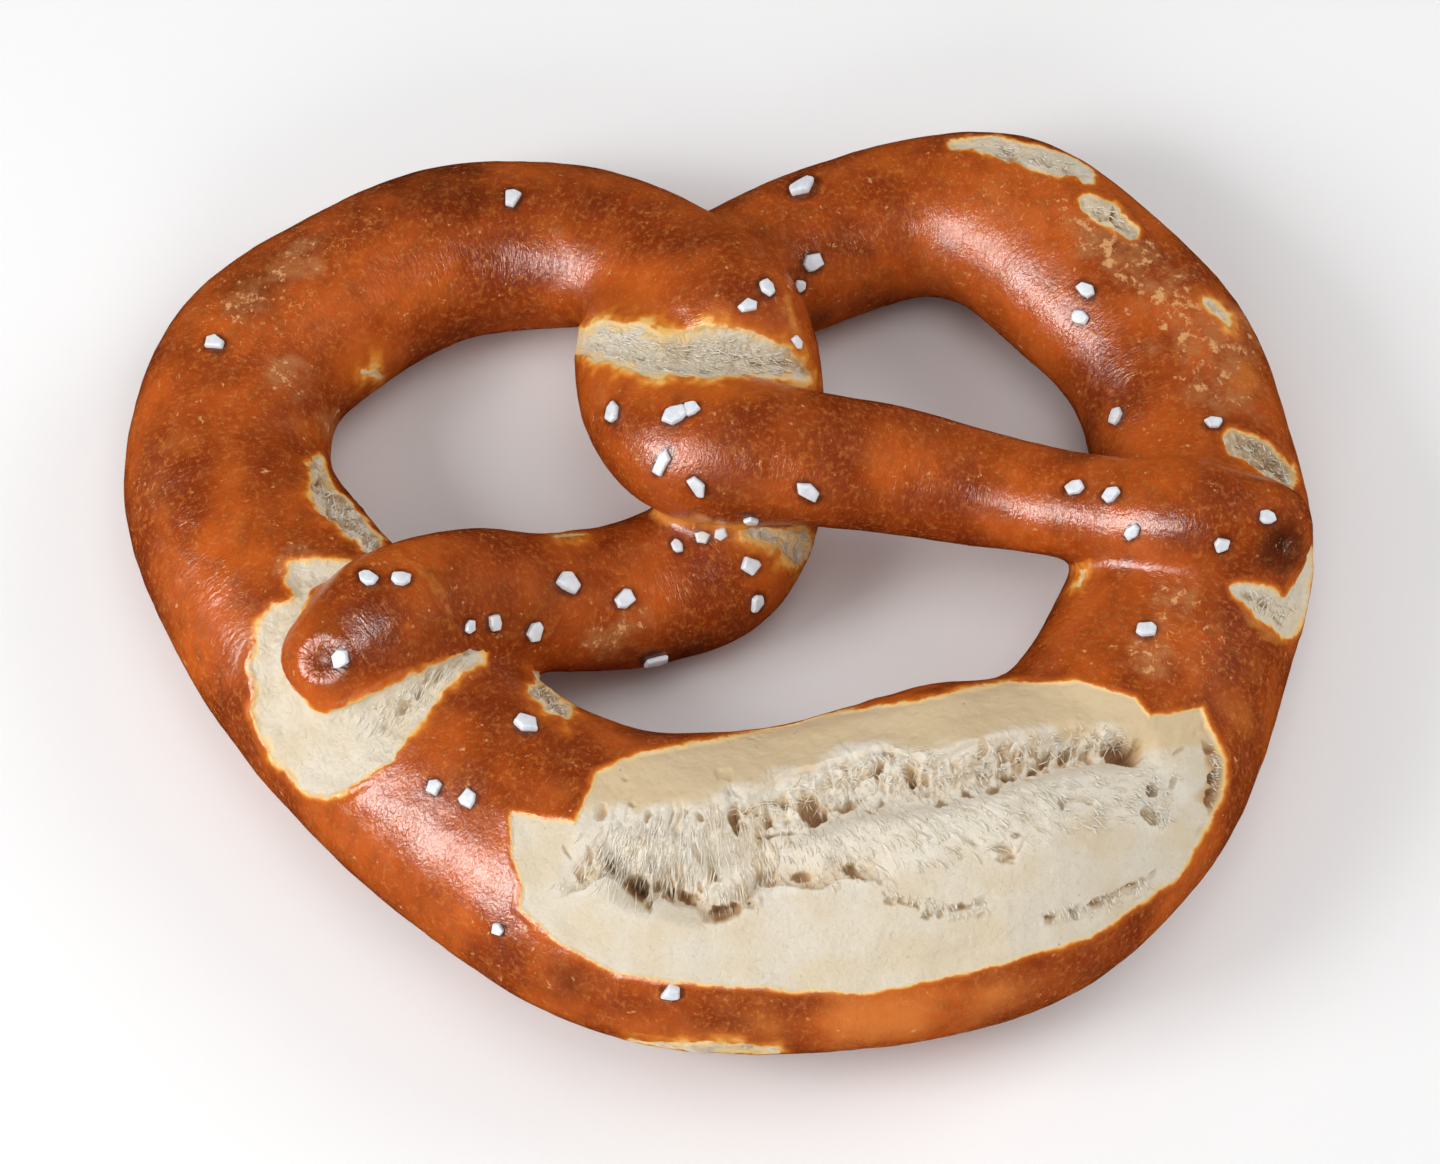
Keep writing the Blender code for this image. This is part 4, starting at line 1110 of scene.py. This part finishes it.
def thread_piece(surface, whole):
    """All the threads as one piece of thin closed tubes, thinner at their ends."""
    rng = np.random.default_rng(THREAD_SEED)
    lines = laid_threads(surface, whole, rng)
    look = np.array(view_axes()[0])
    heading = np.gradient(lines, axis=1)
    heading /= np.linalg.norm(heading, axis=2)[:, :, None] + 1e-9
    side = np.cross(heading, look)
    side /= np.linalg.norm(side, axis=2)[:, :, None] + 1e-9
    up = np.cross(side, heading)
    ends = np.sin(math.pi * (0.12 + 0.76 * np.linspace(0.0, 1.0, THREAD_STEPS)))
    radius = rng.uniform(*THREAD_RADIUS, (len(lines), 1)) * ends[None, :]
    rings = []
    for turn in (0.0, 2.0 * math.pi / 3, 4.0 * math.pi / 3):
        rings.append(lines + (side * math.cos(turn) + up * math.sin(turn)) * radius[:, :, None])
    corners = np.stack(rings, axis=2).reshape(-1, 3)
    mesh = bpy.data.meshes.new("pretzel_threads")
    mesh.from_pydata((corners * MM).tolist(), [], tube_faces(len(lines)))
    mesh.shade_smooth()
    return mesh


# Materials


class Sheet:
    """A material's nodes, added one line each."""

    def __init__(self, name):
        self.material = bpy.data.materials.new(name)
        self.material.use_nodes = True
        self.tree = self.material.node_tree
        self.shader = self.tree.nodes["Principled BSDF"]

    def put(self, socket, value):
        if isinstance(value, bpy.types.NodeSocket):
            self.tree.links.new(value, socket)
        elif value is not None:
            socket.default_value = value

    def made(self, inputs):
        """The finished material, with these inputs of its shader set."""
        for name, value in inputs.items():
            self.put(self.shader.inputs[name], value)
        return self.material

    def add(self, kind, inputs, output=0, **settings):
        node = self.tree.nodes.new(kind)
        for name, value in settings.items():
            setattr(node, name, value)
        for key, value in inputs.items():
            self.put(node.inputs[key], value)
        return node.outputs[output]

    def measure(self, name, output="Fac"):
        return self.add("ShaderNodeAttribute", {}, output, attribute_name=name)

    def place(self):
        return self.add("ShaderNodeTexCoord", {}, "Object")

    def noise(self, where, size, detail=2.0, roughness=0.5, distortion=0.0):
        """Noise from 0 to 1 whose features are about size millimetres across."""
        return self.add("ShaderNodeTexNoise", {
            "Vector": where, "Scale": 1.0 / (size * MM), "Detail": detail,
            "Roughness": roughness, "Distortion": distortion})

    def math(self, operation, a, b=None, clamp=False):
        return self.add("ShaderNodeMath", {0: a, 1: b}, operation=operation, use_clamp=clamp)

    def plus(self, a, b):
        return self.math("ADD", a, b)

    def times(self, a, b):
        return self.math("MULTIPLY", a, b)

    def vector_math(self, operation, a, b=None, output=0):
        return self.add("ShaderNodeVectorMath", {0: a, 1: b}, output, operation=operation)

    def ramp(self, value, low, high, start=0.0, end=1.0):
        """Value eased from start at low to end at high."""
        return self.add("ShaderNodeMapRange", {
            "Value": value, "From Min": low, "From Max": high, "To Min": start, "To Max": end},
            interpolation_type="SMOOTHSTEP")

    def dots(self, where, size, reach, patch, shown):
        """Round dots about size apart, 1 in the middle and 0 at their reach, in patches of noise."""
        cells = self.add(
            "ShaderNodeTexVoronoi", {"Vector": where, "Scale": 1.0 / (size * MM)}, "Distance", feature="F1")
        return self.times(self.ramp(cells, *reach, 1.0, 0.0), self.ramp(self.noise(where, patch), *shown))

    def blend(self, share, a, b):
        return self.add("ShaderNodeMix", {0: share, 2: a, 3: b}, 0, data_type="FLOAT")

    def tint(self, colour, share, name):
        """Colour mixed with a named tone by share. Colour may be a tone's name too."""
        under = tone(colour) if isinstance(colour, str) else colour
        return self.add("ShaderNodeMix", {0: share, 6: under, 7: tone(name)}, 2, data_type="RGBA")

    def tints(self, colour, value, *rows):
        """Colour tinted in turn: the values where each tint starts and is full, its strength and tone."""
        for low, high, strength, name in rows:
            colour = self.tint(colour, self.ramp(value, low, high, 0.0, strength), name)
        return colour

    def bump(self, height, strength, distance):
        return self.add("ShaderNodeBump", {
            "Height": height, "Strength": strength, "Distance": distance * MM})


def tone(name):
    """A named colour as light, from its values on a screen."""
    def linear(c):
        c /= 255.0
        return c / 12.92 if c <= 0.04045 else ((c + 0.055) / 1.055) ** 2.4
    return (*(linear(c) for c in TONES[name]), 1.0)


def crust_colour(s, place, streaks, near, flecked):
    """Browned crust: mottled, crazed, flecked, darker and lighter in places, partly by painted shade and
    sheen, with painted shadow round the salt grains, and golden towards a tear.
    """
    colour = s.tint("chestnut", s.ramp(s.noise(place, 13.0, 3.0), 0.32, 0.68), "amber")
    colour = s.tints(colour, s.noise(place, 3.2, 4.0, 0.6), (0.45, 0.8, 0.65, "umber"))
    colour = s.tints(colour, s.noise(place, 0.8, 3.0, 0.65), (0.5, 0.72, 0.6, "copper"))
    colour = s.tints(colour, s.noise(streaks, 0.7, 3.0, 0.6), (0.52, 0.8, 0.35, "streak"))
    # Darker and lighter spots: partly the crust's own tone, partly painted shade and painted sheen.
    shade = s.plus(s.measure("shade"), s.ramp(s.noise(place, 6.0, 2.0), 0.2, 0.8, -0.22, 0.22))
    colour = s.tints(
        colour, shade, (0.0, 1.0, 0.85, "browned_and_shaded"), (1.0, 1.7, 0.8, "burnt"), (0.0, -0.9, 0.85, "lighter"))
    curls = s.math("ABSOLUTE", s.math("SUBTRACT", s.noise(place, 1.7, 2.0, 0.5, 0.8), 0.5))
    curls = s.times(s.ramp(curls, 0.004, 0.022, 1.0, 0.0), s.ramp(s.noise(place, 1.1, 2.0), 0.5, 0.6))
    curls = s.times(curls, s.ramp(s.measure("crazed"), 0.0, 0.9, 0.15, 0.85))
    colour = s.tint(colour, curls, "crazing")
    bare = s.times(flecked, s.ramp(s.noise(place, 3.5, 4.0, 0.6), 0.38, 0.62))
    colour = s.tint(colour, s.times(bare, 0.6), "bare")
    flecks = s.plus(s.noise(place, 1.7, 5.0, 0.7), s.times(flecked, 0.09))
    colour = s.tints(colour, flecks, (0.63, 0.71, 0.8, "fleck"))
    dots = s.dots(place, 3.2, (0.02, 0.11), 9.0, (0.5, 0.65))
    colour = s.tint(colour, s.times(dots, 0.7), "dot")
    # Painted shadow round the foot of each salt grain.
    colour = s.tint(colour, s.times(s.measure("grain_shadow"), 0.75), "grain_shadow")
    uneven = s.ramp(s.noise(place, 1.6, 3.0), 0.3, 0.7, -0.2, 0.1)
    colour = s.tint(colour, s.math("ADD", s.measure("golden"), uneven, clamp=True), "crease")
    return s.tints(
        colour, near, (-4.5, -0.6, 0.75, "fringe"), (-1.9, -0.3, 0.9, "golden"), (-0.8, 0.1, 0.85, "rim"))


def crumb_colour(s, place, near):
    """Torn crumb: cream below, beige on the dried upper band, and painted shade, tan to brown, in the
    bubbles and other hollows.
    """
    colour = s.tint("cream", s.ramp(s.noise(place, 7.0, 3.0), 0.35, 0.7), "beige")
    colour = s.tint(colour, s.times(s.measure("strand"), 0.6), "strand")
    colour = s.tints(colour, s.measure("skin"), (0.0, 1.0, 0.9, "skin"))
    # Grey, which in the pocket is painted shade, and pale, which is painted light on dim crumb.
    colour = s.tints(colour, s.measure("grey"), (0.0, 1.0, 0.8, "grey"), (0.0, -1.0, 0.95, "pale"))
    brown = s.times(s.measure("brown"), s.ramp(s.noise(place, 1.8, 4.0, 0.6), 0.42, 0.58))
    colour = s.tint(colour, brown, "brown")
    colour = s.tints(colour, s.noise(place, 0.8, 3.0, 0.7), (0.52, 0.8, 0.4, "stain"))
    pores = s.dots(place, 2.3, (0.04, 0.12), 5.0, (0.5, 0.6))
    colour = s.tint(colour, s.times(pores, 0.6), "pore")
    # Painted shade in the crumb's hollows: tan, then brown where they are deeper.
    hollow_shade = s.plus(s.measure("hollow_shade"), s.ramp(s.noise(place, 1.2, 3.0), 0.3, 0.8, -0.12, 0.12))
    colour = s.tints(colour, hollow_shade, (0.08, 0.7, 0.85, "hollow"), (0.5, 1.3, 0.85, "deep"))
    return s.tints(colour, near, (1.1, 0.0, 0.85, "lip"))


def tip_wrinkles(s, place, centres):
    """Fine wrinkles that run out from each pressed tip, from 0 to 1."""
    total = 0.0
    for x, y, z in centres:
        away = s.vector_math("SUBTRACT", place, (x * MM, y * MM, z * MM))
        far = s.vector_math("LENGTH", away, output="Value")
        heading = s.vector_math("NORMALIZE", away)
        rays = s.add("ShaderNodeTexNoise", {"Vector": heading, "Scale": 5.0, "Detail": 1.0})
        band = s.times(s.ramp(far, 0.8 * MM, 1.8 * MM), s.ramp(far, 3.6 * MM, 5.5 * MM, 1.0, 0.0))
        total = s.plus(s.times(rays, band), total)
    return total


def dough_height(s, place, streaks, crumb, tips):
    """The finest relief: wrinkles and grain on the crust, grain and pits in the crumb."""
    wrinkles = s.noise(streaks, 0.6, 2.0, 0.65)
    wrinkles = s.times(wrinkles, s.ramp(s.noise(place, 5.0, 1.0), 0.35, 0.65, 0.5, 1.6))
    wrinkles = s.times(wrinkles, s.ramp(s.measure("seam"), 0.1, 0.9, 1.0, 0.0))
    crust = s.plus(wrinkles, s.times(s.noise(place, 0.6, 3.0, 0.65), 0.9))
    crust = s.plus(crust, s.times(tip_wrinkles(s, place, tips), 2.5))
    grain = s.times(s.noise(place, 0.7, 3.0, 0.7), s.ramp(s.measure("skin"), 0.0, 1.0, 1.0, 0.35))
    pits = s.dots(place, 2.6, (0.05, 0.3), 6.0, (0.48, 0.6))
    torn = s.math("SUBTRACT", grain, s.times(pits, 0.45))
    return s.blend(crumb, crust, s.times(torn, 2.4))


def dough_material(tips):
    """Crust and crumb in one material, parted where the tears' measure passes 0."""
    s = Sheet("pretzel_dough")
    place = s.place()
    parts = s.add("ShaderNodeSeparateXYZ", {0: s.measure("lay", "Vector")}).node
    streaks = s.add("ShaderNodeCombineXYZ", {
        0: s.times(parts.outputs[0], MM), 1: s.times(parts.outputs[1], 0.3 * MM)})
    edge = s.plus(s.measure("inside"), s.ramp(s.noise(place, 0.7, 3.0), 0.25, 0.75, -0.1, 0.1))
    crumb = s.ramp(edge, -0.1, 0.14)
    wave = s.ramp(s.noise(place, 2.8, 2.0, 0.5), 0.28, 0.72, -1.0, 0.6)
    near = s.plus(s.measure("near"), wave)
    flecked = s.plus(s.measure("flecked"), s.ramp(s.noise(place, 4.0, 3.0), 0.25, 0.75, -0.5, 0.1))
    flecked = s.ramp(flecked, 0.0, 0.6)
    colour = s.add("ShaderNodeMix", {
        0: crumb, 6: crust_colour(s, place, streaks, near, flecked), 7: crumb_colour(s, place, near)},
        2, data_type="RGBA")
    below = s.ramp(s.measure("low"), 0.0, 3.0, 1.0, 0.0)
    matte = s.ramp(s.noise(place, 4.0, 3.0), 0.3, 0.7, *CRUST_ROUGHNESS)
    matte = s.plus(matte, s.ramp(s.measure("crazed"), 0.0, 1.0, 0.0, 0.06))
    matte = s.plus(matte, s.times(flecked, 0.16))
    return s.made({
        "Base Color": s.tint(colour, s.times(below, 0.6), "base"),
        "Roughness": s.blend(crumb, matte, CRUMB_ROUGHNESS),
        "Normal": s.bump(dough_height(s, place, streaks, crumb, tips), 1.0, BUMP_DEPTH),
        "IOR": CRUST_IOR,
    })


def salt_material():
    s = Sheet("pretzel_salt")
    place = s.place()
    colour = s.tint("salt", s.ramp(s.noise(place, 1.2, 3.0), 0.35, 0.7), "cloudy")
    return s.made({
        "Base Color": s.tints(colour, s.noise(place, 5.0, 1.0), (0.58, 0.7, 0.5, "stained")),
        "Roughness": s.ramp(s.noise(place, 0.8, 2.0), 0.3, 0.7, 0.3, 0.55),
        "Normal": s.bump(s.noise(place, 0.5, 3.0), 0.6, 0.1),
        "Subsurface Weight": 0.3,
        "Subsurface Radius": (1.0, 1.0, 1.0),
        "Subsurface Scale": SALT_SCATTER,
    })


def thread_material():
    s = Sheet("pretzel_threads")
    place = s.place()
    colour = s.tint("thread", s.ramp(s.noise(place, 4.0, 3.0), 0.35, 0.7), "warm thread")
    return s.made({
        "Base Color": s.tints(colour, s.noise(place, 1.0, 2.0), (0.55, 0.8, 0.4, "dark thread")),
        "Roughness": s.ramp(s.noise(place, 2.0, 2.0), 0.3, 0.7, 0.6, 0.85),
    })


def floor_material():
    s = Sheet("floor")
    colour = s.tint("floor", s.noise(s.place(), 60.0, 1.0), "floor light")
    return s.made({"Base Color": colour, "Roughness": 0.9})


# The scene


def placed(name, data):
    """A new object in the scene."""
    made = bpy.data.objects.new(name, data)
    bpy.context.scene.collection.objects.link(made)
    return made


def link(name, mesh, material):
    piece = placed(name, mesh)
    mesh.materials.clear()
    mesh.materials.append(material)
    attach(piece, "root")


def area_light(name, place, size, power, in_gloss):
    light = bpy.data.lights.new(name, "AREA")
    light.shape = "RECTANGLE"
    light.size, light.size_y = size
    light.energy = power
    lamp = placed(name, light)
    lamp.visible_diffuse, lamp.visible_glossy = not in_gloss, in_gloss
    lamp.location = place
    lamp.rotation_euler = (Vector(LAMP_AIM) - Vector(place)).to_track_quat("-Z", "Y").to_euler()


def set_camera(shift):
    """The photograph's view, on the middle of its frame."""
    look, right, up, eye = view_axes()
    camera = bpy.data.cameras.new("camera")
    camera.sensor_width = SENSOR_WIDTH
    camera.lens = SENSOR_WIDTH * VIEW_DISTANCE / (PHOTO_SIZE[0] * PIXEL)
    camera.clip_start, camera.clip_end = 0.05, 10.0
    holder = placed("camera", camera)
    turned = Matrix((right, up, -look)).transposed()
    holder.matrix_world = Matrix.Translation((eye - shift) * MM) @ turned.to_4x4()
    bpy.context.scene.camera = holder


def set_light():
    world = bpy.data.worlds.new("studio")
    bpy.context.scene.world = world
    world.use_nodes = True
    background = world.node_tree.nodes["Background"]
    background.inputs["Color"].default_value = (1.0, 1.0, 1.0, 1.0)
    background.inputs["Strength"].default_value = WORLD_STRENGTH
    world.cycles_visibility.glossy = False
    for lamp in LAMPS:
        area_light(*lamp)
    bpy.context.scene.view_settings.view_transform = "Standard"
    bpy.context.scene.view_settings.look = "None"


def build():
    dough = placed("pretzel_dough", rope_mesh())
    fuse(dough)
    whole = surface_of(dough.data)
    refine(dough, whole)
    carve(dough, whole)
    carved = surface_of(dough.data)
    salt = salt_piece(carved)
    threads = thread_piece(carved, whole)

    points = read_points(dough.data)
    shift = (points.min(axis=0) + points.max(axis=0)) / 2
    shift[2] = 0.0
    for mesh in (dough.data, salt, threads):
        write_points(mesh, read_points(mesh) - shift)

    dough.data.materials.clear()
    tips = [np.array(landing(whole, x, y)[0]) - shift for x, y, _, _ in DIMPLES]
    dough.data.materials.append(dough_material(tips))
    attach(dough, "root")
    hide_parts("pretzel")
    link("pretzel_salt", salt, salt_material())
    link("pretzel_threads", threads, thread_material())
    return Vector(shift)


def add_floor():
    mesh = bpy.data.meshes.new("floor")
    corners = [(x * FLOOR_REACH, y * FLOOR_REACH, 0) for x, y in ((-1, -1), (1, -1), (1, 1), (-1, 1))]
    mesh.from_pydata(corners, [], [(0, 1, 2, 3)])
    mesh.materials.append(floor_material())
    floor = placed("floor", mesh)
    floor.visible_glossy = False


moved = build()
set_camera(moved)
set_light()
add_floor()
bpy.context.view_layer.update()
